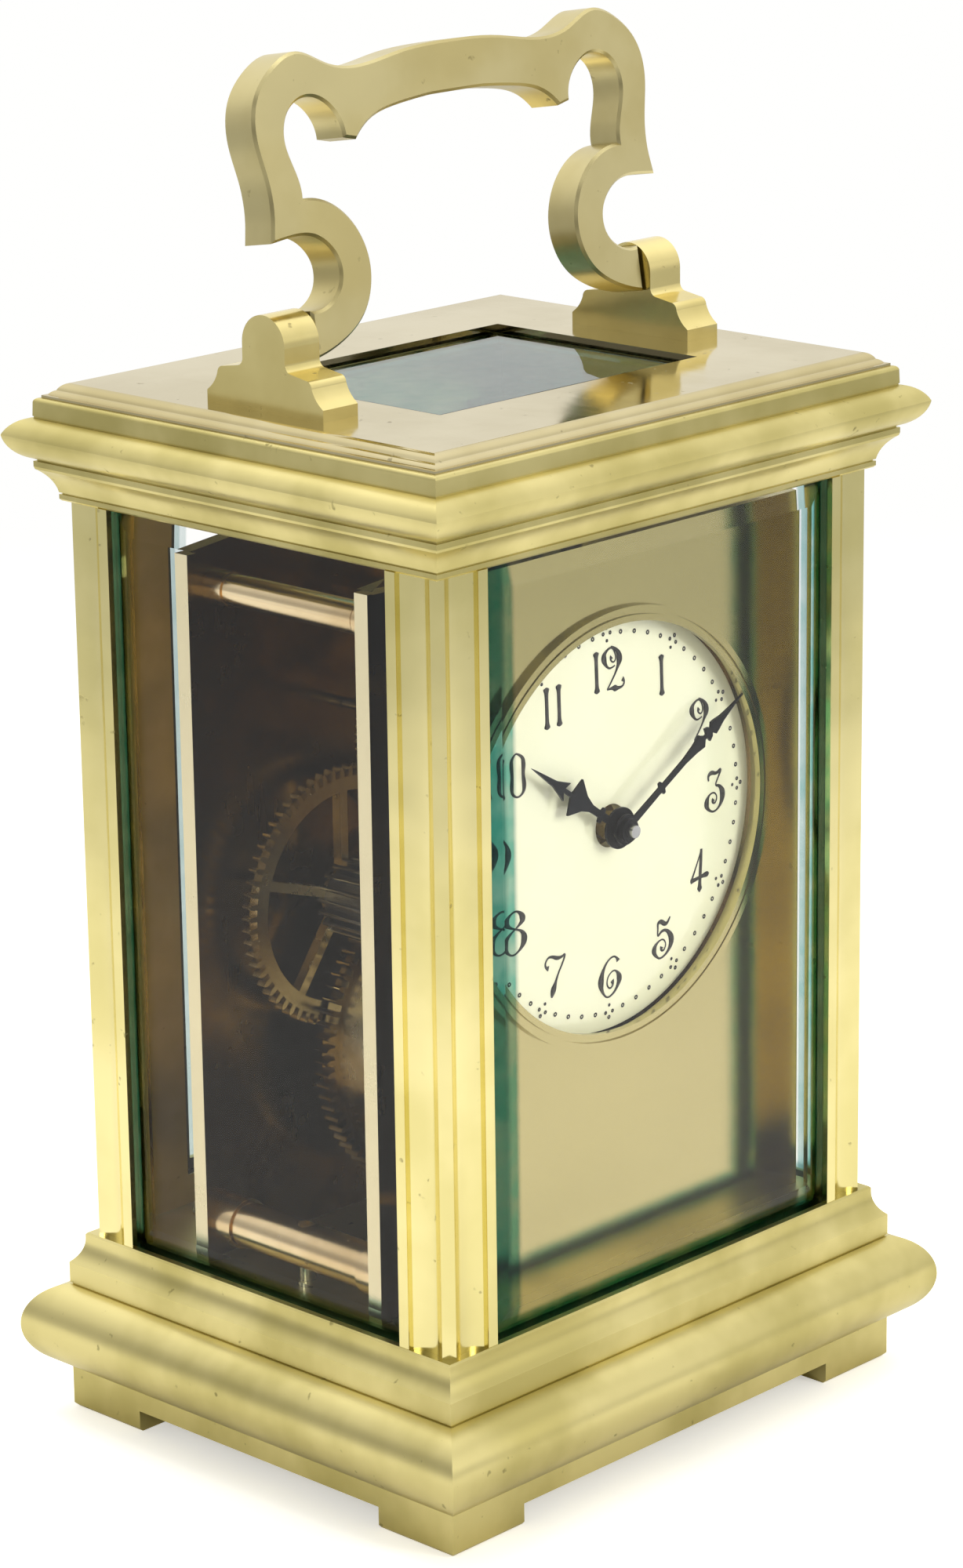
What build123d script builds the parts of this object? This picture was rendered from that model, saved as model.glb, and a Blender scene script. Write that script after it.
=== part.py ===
from build123d import *
import os
from math import atan2, cos, degrees, hypot, pi, radians, sin, sqrt

# Carriage clock: brass case with bevelled glass panels, folding handle and spring-driven movement.
# Millimetres. Front faces -Y, +Z is up, the origin lies under the middle of the feet.

os.makedirs("parts", exist_ok=True)

# Case sizes
plinth_half_x = 36.2
plinth_half_y = 29.8
plinth_height = 5.1
foot_notch_height = 2.5
foot_width = 11.0
bulge_radius = 4.9
bulge_inset = 0.85
bulge_top = 14.9
base_band_top = 17.5
base_height = 21.0
base_rim_inset = 1.4
base_deck = 4.0
base_wall = 7.5
cover_thickness = 1.5
cover_ledge = 1.4

post_height = 84.2
post_width = 9.0
post_inset = 1.65
post_fillet_width = 1.4
post_step = 0.4
post_hollow_depth = 0.6
post_corner_inset = 3.08
post_inner_inset = 5.5
post_lip_width = 8.8

cornice_height = 11.25
cornice_fascia_inset = 1.6
cornice_bead_out = 0.25
cornice_nose_out = 2.65
cornice_band_out = 0.18
cornice_ceiling = 3.05
cornice_cavity_wall = 5.2

top_plate_thickness = 1.55
top_plate_edge_inset = 0.55
top_plate_flat_inset = 2.7
top_window_half_x = 20.1
top_window_half_y = 14.9
glass_seat_width = 2.0
glass_seat_lip = 1.25

# Glass
glass_thickness = 2.0
glass_bevel_width = 3.7
glass_bevel_depth = 0.9
glass_front_inset = 2.4
glass_groove_depth = 1.0
glass_groove_in_post = 1.2
glass_clearance = 0.1

# Rear door
door_clearance = 0.2
door_stile = 8.0
door_rail = 4.8
door_edge_radius = 1.15
door_pin_radius = 0.7
door_pin_length = 5.0
door_rebate = 1.4
door_knob_radius = 2.2
door_knob_length = 4.2

# Handle and its blocks
handle_pivot_rise = 7.0
handle_lean = 9.14
handle_thickness = 4.5
handle_edge = 0.3
handle_end_gap = 0.35
block_inner_x = 25.7
block_thickness = 5.0
block_half_length = 8.6
block_toe_height = 1.3
ear_half_width = 3.15
handle_pin_radius = 1.2
handle_pin_in_ear = 3.6
handle_pin_in_handle = 3.6

# Screws
screw_shank_radius = 1.0
screw_head_radius = 1.9
screw_head_height = 1.2
screw_slot_width = 0.5
screw_hole_clearance = 0.05
post_screw_reach = 6.0
block_screw_reach = 3.5
block_screw_spacing = 10.0

# Movement frame
plate_half_x = 30.5
plate_thickness = 1.9
plate_top = 101.0
back_plate_inner_y = 12.1
front_plate_inner_y = -12.9
pillar_top_x = 26.5
pillar_top_z = 97.0
pillar_top_radius = 1.8
pillar_top_collar_radius = 1.95
pillar_bottom_x = 27.0
pillar_bottom_z = 24.9
pillar_bottom_radius = 2.55
pillar_bottom_collar_radius = 2.85
pillar_collar_length = 2.7
pillar_end_radius = 1.2
pillar_tail = 3.0
pillar_pin_radius = 0.4
pillar_pin_length = 6.0
fixing_screw_radius = 0.9

# Running fits
pivot_clearance = 0.03
end_shake = 0.15
running_gap = 0.1

# Train: axes, teeth and modules
great_teeth = 78
great_module = 0.45
intermediate_leaves = 18
intermediate_teeth = 66
intermediate_module = 0.43
centre_leaves = 9
centre_teeth = 80
centre_module = 0.28
third_leaves = 8
third_teeth = 75
third_module = 0.26
contrate_leaves = 10
contrate_teeth = 64
contrate_module = 0.24
escape_leaves = 8
barrel_z = 41.8
centre_z = 70.4
contrate_z = 88.2

wheel_tooth_share = 0.46
wheel_addendum = 1.25
wheel_dedendum = 1.5
pinion_tooth_share = 0.38
pinion_addendum = 0.8
pinion_dedendum = 1.6
arbor_radius = 0.6
centre_arbor_thick_radius = 1.1
pivot_radius = 0.4

# Places along the arbors, as Y of the rear face
great_rear_y = 7.4
great_width = 2.0
drum_radius = 16.3
drum_wall = 1.1
drum_front_y = -9.5
cap_thickness = 1.2
intermediate_rear_y = 9.2
intermediate_width = 1.2
intermediate_pinion_length = 9.0
centre_pinion_rear_y = 9.8
centre_pinion_length = 2.4
centre_wheel_rear_y = -3.0
centre_wheel_width = 1.0
third_wheel_rear_y = 0.5
third_wheel_width = 1.0
third_pinion_length = 2.2
contrate_pinion_rear_y = 1.1
contrate_pinion_length = 2.2

# Barrel, click and springs
barrel_arbor_radius = 2.5
barrel_hub_radius = 4.0
barrel_pivot_radius = 1.8
winding_square = 2.6
winding_square_length = 6.0
setting_square = 1.7
setting_square_length = 5.0
mainspring_thickness = 0.4
mainspring_turns = 8
ratchet_teeth = 24
ratchet_radius = 5.6
ratchet_root_radius = 4.9
ratchet_thickness = 1.2
click_pivot_x = 7.5
click_pivot_rise = 6.8
click_tip_clearance = 0.05

# Motion work
cannon_teeth = 12
minute_teeth = 36
cannon_module = 0.3
minute_leaves = 10
hour_teeth = 40
minute_wheel_angle = -45.0
cannon_bore_radius = 0.72
cannon_pipe_radius = 1.1
hour_pipe_wall = 0.45

# Dial side
mask_front_y = -20.4
mask_thickness = 1.2
mask_half_x = 30.1
mask_top = 101.5
mask_window_radius = 23.4
mask_foot_radius = 1.2
dial_radius = 23.2
dial_thickness = 1.0
dial_front_y = -19.3
dial_dome = 0.5
dial_hole_radius = 2.4
bezel_outer_radius = 24.4
bezel_inner_radius = 22.7
bezel_height = 0.7
hour_hand_angle = 305.0
hour_hand_length = 16.8
hour_hand_front_y = -20.8
minute_hand_angle = 59.6
minute_hand_length = 22.2
minute_hand_front_y = -21.7
hand_thickness = 0.3
arbor_tip_y = -23.0

# Platform escapement
platform_half_x = 13.0
platform_thickness = 1.6
escape_y = 3.4
escape_tooth_count = 15
escape_radius = 3.0
escape_root_radius = 2.15
escape_wheel_rise = 1.0
escape_wheel_thickness = 0.5
pallet_angle = 30.0
balance_y = -6.3
balance_radius = 5.5
balance_rise = 3.3
balance_rim_width = 0.9
balance_rim_height = 0.9
hairspring_thickness = 0.12
hairspring_height = 0.25
hairspring_turns = 5
hairspring_pitch = 0.62
hairspring_start_radius = 0.95
cock_rise = 5.0
cock_thickness = 1.0

# Levels and positions that follow from the sizes
soffit = base_height + post_height
cornice_top = soffit + cornice_height
case_top = cornice_top + top_plate_thickness
ceiling = cornice_top - cornice_ceiling
opening_half_x = plinth_half_x - post_width
opening_half_y = plinth_half_y - post_width
cavity_half_x = plinth_half_x - cornice_cavity_wall
cavity_half_y = plinth_half_y - cornice_cavity_wall
pane_half_x = opening_half_x + glass_groove_in_post - glass_clearance
pane_half_y = opening_half_y + glass_groove_in_post - glass_clearance
pane_low = base_height - glass_groove_depth + glass_clearance
pane_high = soffit + glass_groove_depth - glass_clearance
pane_middle = (pane_low + pane_high) / 2
pivot_z = case_top + handle_pivot_rise
block_outer_x = block_inner_x + block_thickness
back_plate_outer_y = back_plate_inner_y + plate_thickness
front_plate_outer_y = front_plate_inner_y - plate_thickness
platform_top = plate_top + platform_thickness
corner_signs = (("front_left", -1, -1), ("front_right", 1, -1), ("rear_left", -1, 1), ("rear_right", 1, 1))

barrel_distance = (great_teeth + intermediate_leaves) * great_module / 2
centre_distance = (intermediate_teeth + centre_leaves) * intermediate_module / 2
third_distance = (centre_teeth + third_leaves) * centre_module / 2
contrate_distance = (third_teeth + contrate_leaves) * third_module / 2
motion_distance = (cannon_teeth + minute_teeth) * cannon_module / 2
hour_module = 2 * motion_distance / (hour_teeth + minute_leaves)


def between(low_z, high_z, low_distance, high_distance):
    """X and Z of an axis to the left of X = 0, at given distances from two axes on X = 0."""
    span = high_z - low_z
    rise = (low_distance**2 - high_distance**2 + span**2) / (2 * span)
    return -sqrt(low_distance**2 - rise**2), low_z + rise


def direction(from_x, from_z, to_x, to_z):
    """Angle in degrees from one axis to another, seen from the front."""
    return degrees(atan2(to_z - from_z, to_x - from_x))


intermediate_x, intermediate_z = between(barrel_z, centre_z, barrel_distance, centre_distance)
third_x, third_z = between(centre_z, contrate_z, third_distance, contrate_distance)
minute_x = motion_distance * cos(radians(minute_wheel_angle))
minute_z = centre_z + motion_distance * sin(radians(minute_wheel_angle))


def facing(x, y, z):
    """Plane at a point, looking out of the front: extrusions run towards -Y."""
    return Plane(origin=(x, y, z), x_dir=(1, 0, 0), z_dir=(0, -1, 0))


def turned(x, z, steps):
    """Round piece along Y. Each step is its rear Y, its front Y and its radius."""
    for rear_y, front_y, radius in steps:
        with BuildSketch(facing(x, rear_y, z)) as section:
            Circle(radius)
        extrude(section.sketch, amount=rear_y - front_y)


def turned_up(x, y, steps):
    """Round piece along Z. Each step is its lower Z, its upper Z and its radius."""
    for low_z, high_z, radius in steps:
        with BuildSketch(Plane.XY.offset(low_z)) as section:
            with Locations((x, y)):
                Circle(radius)
        extrude(section.sketch, amount=high_z - low_z)


def drill(x, z, rear_y, front_y, radius):
    """Round hole along Y."""
    with BuildSketch(facing(x, rear_y, z)) as section:
        Circle(radius)
    extrude(section.sketch, amount=rear_y - front_y, mode=Mode.SUBTRACT)


def drill_up(x, y, low_z, high_z, radius):
    """Round hole along Z."""
    with BuildSketch(Plane.XY.offset(low_z)) as section:
        with Locations((x, y)):
            Circle(radius)
    extrude(section.sketch, amount=high_z - low_z, mode=Mode.SUBTRACT)


def block_between(low, high, mode=Mode.ADD):
    """Rectangular block between two corners."""
    middle = tuple((a + b) / 2 for a, b in zip(low, high))
    with Locations(middle):
        Box(*(b - a for a, b in zip(low, high)), mode=mode)


def moulding(outline, half_x, half_y):
    """Block whose four sides all follow one outline, mitred at the corners."""
    reach = 2 * max(half_x, half_y)
    for plane, half, mode in ((Plane.XZ, half_x, Mode.ADD), (Plane.YZ, half_y, Mode.INTERSECT)):
        with BuildSketch(plane) as profile:
            with BuildLine():
                outline(half)
            make_face()
            mirror(about=Plane.YZ)
        extrude(profile.sketch, amount=reach, both=True, mode=mode)


def polar(radius, angle):
    """Point at an angle in radians."""
    return radius * cos(angle), radius * sin(angle)


def toothed_disc(teeth, module, is_wheel, first_tooth):
    """Face of a wheel or pinion: radial flanks under rounded tips, first tooth at an angle in degrees."""
    share = wheel_tooth_share if is_wheel else pinion_tooth_share
    addendum = module * (wheel_addendum if is_wheel else pinion_addendum)
    dedendum = module * (wheel_dedendum if is_wheel else pinion_dedendum)
    shoulder = 0.66 if is_wheel else 0.85
    pitch_radius = teeth * module / 2
    half = share * pi / teeth
    with BuildLine() as outline:
        for index in range(teeth):
            middle = radians(first_tooth) + index * 2 * pi / teeth
            root_in = polar(pitch_radius - dedendum, middle - half)
            flank_in = polar(pitch_radius, middle - half)
            swell_in = polar(pitch_radius + 0.6 * addendum, middle - shoulder * half)
            tip = polar(pitch_radius + addendum, middle)
            swell_out = polar(pitch_radius + 0.6 * addendum, middle + shoulder * half)
            flank_out = polar(pitch_radius, middle + half)
            root_out = polar(pitch_radius - dedendum, middle + half)
            next_root = polar(pitch_radius - dedendum, middle + 2 * pi / teeth - half)
            Line(root_in, flank_in)
            ThreePointArc(flank_in, swell_in, tip)
            ThreePointArc(tip, swell_out, flank_out)
            Line(flank_out, root_out)
            Line(root_out, next_root)
    make_face(outline.edges())


def crossed(rim_radius, hub_radius, spokes, spoke_width, first_spoke=0.0):
    """Cut the crossings out of a wheel's face and leave hub and spokes."""
    Circle(rim_radius, mode=Mode.SUBTRACT)
    Circle(hub_radius)
    with PolarLocations(0, spokes, start_angle=first_spoke):
        Rectangle(rim_radius + 0.2, spoke_width, align=(Align.MIN, Align.CENTER))


def spiral_band(start_radius, growth, half_turns, thickness):
    """Face of a flat wound spring made of half turns. The radius grows by growth each half turn."""
    edges = (start_radius - thickness / 2, start_radius + thickness / 2)
    ends = []
    with BuildLine() as outline:
        for edge in edges:
            for index in range(half_turns):
                side = 1 if index % 2 == 0 else -1
                centre = 0.0 if index % 2 == 0 else growth
                radius = edge + index * growth
                start = (centre + side * radius, 0)
                top = (centre, side * radius)
                end = (centre - side * radius, 0)
                ThreePointArc(start, top, end)
                if index == 0:
                    ends.append(start)
            ends.append(end)
        Line(ends[0], ends[2])
        Line(ends[1], ends[3])
    make_face(outline.edges())


def least_coil_gap(start_radius, growth, half_turns, thickness):
    """Least clear distance between neighbouring turns, measured on points along the spring's middle."""
    points = []
    for index in range(half_turns):
        centre = 0.0 if index % 2 == 0 else growth
        begin = 0.0 if index % 2 == 0 else pi
        for step in range(24):
            angle = begin + pi * step / 24
            radius = start_radius + index * growth
            points.append((index + step / 24, centre + radius * cos(angle), radius * sin(angle)))
    gaps = [
        hypot(far[1] - near[1], far[2] - near[2]) - thickness
        for near in points
        for far in points
        if far[0] - near[0] > 1.0
    ]
    return min(gaps)


def screw_up(x, y, head_z, tip_z, shank_radius=screw_shank_radius, head_radius=screw_head_radius):
    """Slotted cheese-head screw along Z. Its head lies outside head_z, away from the tip."""
    way = 1 if tip_z > head_z else -1
    head_end = head_z - way * screw_head_height
    turned_up(x, y, [(min(head_z, tip_z), max(head_z, tip_z), shank_radius)])
    turned_up(x, y, [(min(head_z, head_end), max(head_z, head_end), head_radius)])
    slot_low = min(head_end, head_end + way * screw_slot_width)
    block_between(
        (x - head_radius, y - screw_slot_width / 2, slot_low),
        (x + head_radius, y + screw_slot_width / 2, slot_low + screw_slot_width),
        mode=Mode.SUBTRACT,
    )


# Places of the screws that hold the case together
post_screw_x = plinth_half_x - (post_corner_inset + post_inner_inset) / 2 - 0.2
post_screw_y = plinth_half_y - (post_corner_inset + post_inner_inset) / 2 - 0.2
post_screw_low_head = base_height - 2 * base_deck
post_screw_high_head = cornice_top - 2 * screw_head_height
hole_radius = screw_shank_radius + screw_hole_clearance
head_hole_radius = screw_head_radius + 2 * screw_hole_clearance
block_screw_x = (block_inner_x + block_outer_x) / 2


# Base: moulded plinth with bracket feet, a torus and a cove, hollow under its deck
def base_outline(half):
    Line((0, 0), (half - 0.4, 0))
    Line((half - 0.4, 0), (half, 0.4))
    Line((half, 0.4), (half, plinth_height))
    Line((half, plinth_height), (half - 0.35, plinth_height))
    Line((half - 0.35, plinth_height), (half - 0.35, plinth_height + 0.2))
    bulge_low = (half + 0.13, plinth_height + 0.2)
    bulge_high = (half + 0.08, bulge_top)
    bulge_out = (half - bulge_inset + bulge_radius, (plinth_height + 0.2 + bulge_top) / 2)
    Line((half - 0.35, plinth_height + 0.2), bulge_low)
    ThreePointArc(bulge_low, bulge_out, bulge_high)
    Line(bulge_high, (half - 0.25, bulge_top))
    Line((half - 0.25, bulge_top), (half - 0.25, bulge_top + 0.2))
    Line((half - 0.25, bulge_top + 0.2), (half - 0.03, bulge_top + 0.2))
    Line((half - 0.03, bulge_top + 0.2), (half - 0.03, base_band_top))
    rim = half - base_rim_inset
    ThreePointArc((half - 0.03, base_band_top), (rim + 0.35, base_band_top + 1.3), (rim, base_height - 0.6))
    Line((rim, base_height - 0.6), (rim, base_height - 0.2))
    Line((rim, base_height - 0.2), (rim - 0.2, base_height))
    Line((rim - 0.2, base_height), (0, base_height))
    Line((0, base_height), (0, 0))


glass_front_y = -(plinth_half_y - glass_front_inset)
glass_side_x = plinth_half_x - glass_front_inset


def cut_glass_grooves(low_z, high_z):
    """Grooves for the front pane and the two side panes."""
    front_low = (-pane_half_x - glass_clearance, glass_front_y - glass_clearance / 2, low_z)
    front_high = (pane_half_x + glass_clearance, glass_front_y + glass_thickness + glass_clearance / 2, high_z)
    block_between(front_low, front_high, mode=Mode.SUBTRACT)
    for side in (-1, 1):
        faces = (side * (glass_side_x - glass_thickness - glass_clearance / 2), side * (glass_side_x + glass_clearance / 2))
        side_low = (min(faces), -pane_half_y - glass_clearance, low_z)
        side_high = (max(faces), pane_half_y + glass_clearance, high_z)
        block_between(side_low, side_high, mode=Mode.SUBTRACT)


with BuildPart() as base:
    moulding(base_outline, plinth_half_x, plinth_half_y)
    notch_x = plinth_half_x - foot_width
    notch_y = plinth_half_y - foot_width
    reach = plinth_half_x + bulge_radius + 1
    block_between((-notch_x, -reach, -1), (notch_x, reach, foot_notch_height), mode=Mode.SUBTRACT)
    block_between((-reach, -notch_y, -1), (reach, notch_y, foot_notch_height), mode=Mode.SUBTRACT)
    hollow_x = plinth_half_x - base_wall
    hollow_y = plinth_half_y - base_wall
    deck_low = base_height - base_deck
    block_between((-hollow_x, -hollow_y, 0), (hollow_x, hollow_y, deck_low), mode=Mode.SUBTRACT)
    cover_low = foot_notch_height + 0.1
    cover_top = cover_low + cover_thickness
    ledge_x = hollow_x + cover_ledge
    ledge_y = hollow_y + cover_ledge
    block_between((-ledge_x, -ledge_y, 0), (ledge_x, ledge_y, cover_top), mode=Mode.SUBTRACT)
    cut_glass_grooves(base_height - glass_groove_depth, base_height + 1)
    for name, sx, sy in corner_signs:
        drill_up(sx * post_screw_x, sy * post_screw_y, -1, post_screw_low_head, head_hole_radius)
        drill_up(sx * post_screw_x, sy * post_screw_y, post_screw_low_head, base_height + 1, hole_radius)
    for side in (-1, 1):
        drill_up(side * pillar_bottom_x, 0, deck_low - 1, base_height + 1, fixing_screw_radius + screw_hole_clearance)
    door_pin_x = opening_half_x - door_clearance / 4 - door_edge_radius
    door_pin_y = plinth_half_y - post_inset - door_edge_radius
    drill_up(door_pin_x, door_pin_y, base_height - door_pin_length / 2, base_height + 1, door_pin_radius)
base.part.label = "base"
export_step(base.part, "parts/base.step")

# Cover plate that closes the hollow of the base from below
with BuildPart() as base_cover:
    cover_x = ledge_x - glass_clearance
    cover_y = ledge_y - glass_clearance
    block_between((-cover_x, -cover_y, cover_low), (cover_x, cover_y, cover_top))
base_cover.part.label = "base_cover"
export_step(base_cover.part, "parts/base_cover.step")


# Corner posts: hollowed faces between flat fillets, with grooves for the panes
def post_section(sx, sy, rear_is_door):
    """Section of a post, drawn from the plinth's corner inwards: across the front or rear, then the side."""

    def at(u, v):
        return sx * (plinth_half_x - u), sy * (plinth_half_y - v)

    step_at = post_width - post_fillet_width
    hollow_start = step_at - 0.3
    hollow_edge = post_inset + post_step
    hollow_middle = (hollow_start + post_corner_inset) / 2
    corner_far = hollow_edge - 0.03
    groove_low = glass_front_inset - glass_clearance / 2
    groove_high = glass_front_inset + glass_thickness + glass_clearance / 2
    groove_end = post_width - glass_groove_in_post

    def hollowed_face(turn):
        """One outer face, from the opening to the corner."""
        Line(turn(post_width, post_inset), turn(step_at, post_inset))
        Line(turn(step_at, post_inset), turn(step_at, hollow_edge))
        Line(turn(step_at, hollow_edge), turn(hollow_start, hollow_edge))
        deepest = turn(hollow_middle, hollow_edge + post_hollow_depth)
        ThreePointArc(turn(hollow_start, hollow_edge), deepest, turn(post_corner_inset, corner_far))

    def grooved_edge(turn):
        """The edge beside the pane, with its groove and inner lip."""
        Line(turn(post_width, post_inset), turn(post_width, groove_low))
        Line(turn(post_width, groove_low), turn(groove_end, groove_low))
        Line(turn(groove_end, groove_low), turn(groove_end, groove_high))
        Line(turn(groove_end, groove_high), turn(post_lip_width, groove_high))
        Line(turn(post_lip_width, groove_high), turn(post_lip_width, post_inner_inset))
        Line(turn(post_lip_width, post_inner_inset), turn(post_inner_inset, post_inner_inset))

    def plain_edge(turn):
        """The edge beside the door."""
        Line(turn(post_width, post_inset), turn(post_width, post_inner_inset))
        Line(turn(post_width, post_inner_inset), turn(post_inner_inset, post_inner_inset))

    def across(d, o):
        return at(d, o)

    def along(d, o):
        return at(o, d)

    hollowed_face(across)
    Line(across(post_corner_inset, corner_far), along(post_corner_inset, corner_far))
    hollowed_face(along)
    grooved_edge(along)
    if rear_is_door:
        plain_edge(across)
    else:
        grooved_edge(across)


for name, sx, sy in corner_signs:
    with BuildPart() as post:
        with BuildSketch(Plane.XY.offset(base_height)):
            with BuildLine():
                post_section(sx, sy, rear_is_door=sy > 0)
            make_face()
        extrude(amount=post_height)
        for low_z, high_z in (
            (base_height - 1, base_height + post_screw_reach),
            (soffit - post_screw_reach, soffit + 1),
        ):
            drill_up(sx * post_screw_x, sy * post_screw_y, low_z, high_z, hole_radius)
    post.part.label = f"post_{name}"
    export_step(post.part, f"parts/post_{name}.step")


# Cornice: fascia, cove, bead and nose, hollow above the movement
def cornice_outline(half):
    fascia = half - cornice_fascia_inset
    bead = half + cornice_bead_out
    nose = half + cornice_nose_out
    band = half + cornice_band_out
    Line((0, soffit), (fascia - 0.2, soffit))
    Line((fascia - 0.2, soffit), (fascia, soffit + 0.2))
    Line((fascia, soffit + 0.2), (fascia, soffit + 0.7))
    Line((fascia, soffit + 0.7), (fascia - 0.25, soffit + 0.7))
    Line((fascia - 0.25, soffit + 0.7), (fascia - 0.25, soffit + 0.9))
    Line((fascia - 0.25, soffit + 0.9), (fascia, soffit + 0.9))
    ThreePointArc((fascia, soffit + 0.9), (fascia + 0.55, soffit + 2.3), (bead - 0.1, soffit + 3.5))
    Line((bead - 0.1, soffit + 3.5), (bead, soffit + 3.8))
    Line((bead, soffit + 3.8), (bead, soffit + 4.4))
    Line((bead, soffit + 4.4), (bead - 0.3, soffit + 4.4))
    Line((bead - 0.3, soffit + 4.4), (bead - 0.3, soffit + 4.6))
    Line((bead - 0.3, soffit + 4.6), (bead, soffit + 4.65))
    ThreePointArc((bead, soffit + 4.65), (nose - 0.7, soffit + 5.75), (nose, soffit + 7.3))
    ThreePointArc((nose, soffit + 7.3), (nose - 0.75, soffit + 8.35), (band + 0.2, soffit + 9.1))
    Line((band + 0.2, soffit + 9.1), (band - 0.1, soffit + 9.1))
    Line((band - 0.1, soffit + 9.1), (band - 0.1, soffit + 9.3))
    Line((band - 0.1, soffit + 9.3), (band, soffit + 9.3))
    Line((band, soffit + 9.3), (band - 0.05, soffit + 10.7))
    ThreePointArc((band - 0.05, soffit + 10.7), (band - 0.2, soffit + 11.1), (band - 0.55, cornice_top))
    Line((band - 0.55, cornice_top), (0, cornice_top))
    Line((0, cornice_top), (0, soffit))


with BuildPart() as cornice:
    moulding(cornice_outline, plinth_half_x, plinth_half_y)
    block_between((-cavity_half_x, -cavity_half_y, soffit - 1), (cavity_half_x, cavity_half_y, ceiling), mode=Mode.SUBTRACT)
    seat_x = top_window_half_x + glass_seat_width
    seat_y = top_window_half_y + glass_seat_width
    seat_z = cornice_top - cornice_ceiling + 1.55
    block_between((-seat_x, -seat_y, seat_z), (seat_x, seat_y, cornice_top + 1), mode=Mode.SUBTRACT)
    throat_x = seat_x - glass_seat_lip
    throat_y = seat_y - glass_seat_lip
    block_between((-throat_x, -throat_y, ceiling - 1), (throat_x, throat_y, seat_z + 1), mode=Mode.SUBTRACT)
    cut_glass_grooves(soffit - 1, soffit + glass_groove_depth)
    for name, sx, sy in corner_signs:
        drill_up(sx * post_screw_x, sy * post_screw_y, soffit - 1, post_screw_high_head, hole_radius)
        drill_up(sx * post_screw_x, sy * post_screw_y, post_screw_high_head, cornice_top + 1, head_hole_radius)
        drill_up(sx * block_screw_x, sy * block_screw_spacing / 2, ceiling - 1, cornice_top + 1, hole_radius)
    drill_up(door_pin_x, door_pin_y, soffit - 1, soffit + door_pin_length / 2, door_pin_radius)
cornice.part.label = "cornice"
export_step(cornice.part, "parts/cornice.step")


# Top plate: stepped edge and a rectangular window
def top_plate_outline(half):
    edge = half - top_plate_edge_inset
    flat = half - top_plate_flat_inset
    Line((0, cornice_top), (edge, cornice_top))
    Line((edge, cornice_top), (edge, cornice_top + 0.3))
    Line((edge, cornice_top + 0.3), (edge - 0.5, cornice_top + 0.35))
    ThreePointArc((edge - 0.5, cornice_top + 0.35), (edge - 0.8, cornice_top + 0.65), (edge - 1.15, cornice_top + 0.8))
    ThreePointArc((edge - 1.15, cornice_top + 0.8), (edge - 1.5, cornice_top + 1.25), (flat, case_top))
    Line((flat, case_top), (0, case_top))
    Line((0, case_top), (0, cornice_top))


top_glass_high = case_top - 0.7
with BuildPart() as top_plate:
    moulding(top_plate_outline, plinth_half_x, plinth_half_y)
    window = (top_window_half_x, top_window_half_y)
    block_between((-window[0], -window[1], cornice_top - 1), (window[0], window[1], case_top + 1), mode=Mode.SUBTRACT)
    lip_low = case_top - 0.6
    block_between((-seat_x, -seat_y, cornice_top - 1), (seat_x, seat_y, lip_low), mode=Mode.SUBTRACT)
    for name, sx, sy in corner_signs:
        drill_up(sx * block_screw_x, sy * block_screw_spacing / 2, cornice_top - 1, case_top + 1, hole_radius)
top_plate.part.label = "top_plate"
export_step(top_plate.part, "parts/top_plate.step")


# Glass panes, ground to a wide bevel on their outer edges
def bevelled_pane(plane, width, height, thickness, bevel_width, bevel_depth):
    """Pane that starts on a plane and grows outwards to its bevelled face."""
    with BuildSketch(plane) as back:
        Rectangle(width, height)
    extrude(back.sketch, amount=thickness - bevel_depth)
    with BuildSketch(plane.offset(thickness - bevel_depth)) as bevel_start:
        Rectangle(width, height)
    with BuildSketch(plane.offset(thickness)) as bevel_end:
        Rectangle(width - 2 * bevel_width, height - 2 * bevel_width)
    loft([bevel_start.sketch, bevel_end.sketch])


with BuildPart() as top_glass:
    pane_width = 2 * (seat_x - glass_clearance)
    pane_depth = 2 * (seat_y - glass_clearance)
    pane_plane = Plane.XY.offset(seat_z)
    bevelled_pane(pane_plane, pane_width, pane_depth, top_glass_high - seat_z, glass_bevel_width + 0.7, glass_bevel_depth)
top_glass.part.label = "top_glass"
export_step(top_glass.part, "parts/top_glass.step")

pane_height = pane_high - pane_low
with BuildPart() as front_glass:
    pane_plane = facing(0, glass_front_y + glass_thickness, pane_middle)
    bevelled_pane(pane_plane, 2 * pane_half_x, pane_height, glass_thickness, glass_bevel_width, glass_bevel_depth)
front_glass.part.label = "front_glass"
export_step(front_glass.part, "parts/front_glass.step")

for name, side in (("left", -1), ("right", 1)):
    with BuildPart() as side_glass:
        inner_face = (side * (glass_side_x - glass_thickness), 0, pane_middle)
        pane_plane = Plane(origin=inner_face, x_dir=(0, side, 0), z_dir=(side, 0, 0))
        bevelled_pane(pane_plane, 2 * pane_half_y, pane_height, glass_thickness, glass_bevel_width, glass_bevel_depth)
    side_glass.part.label = f"{name}_glass"
    export_step(side_glass.part, f"parts/{name}_glass.step")

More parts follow.
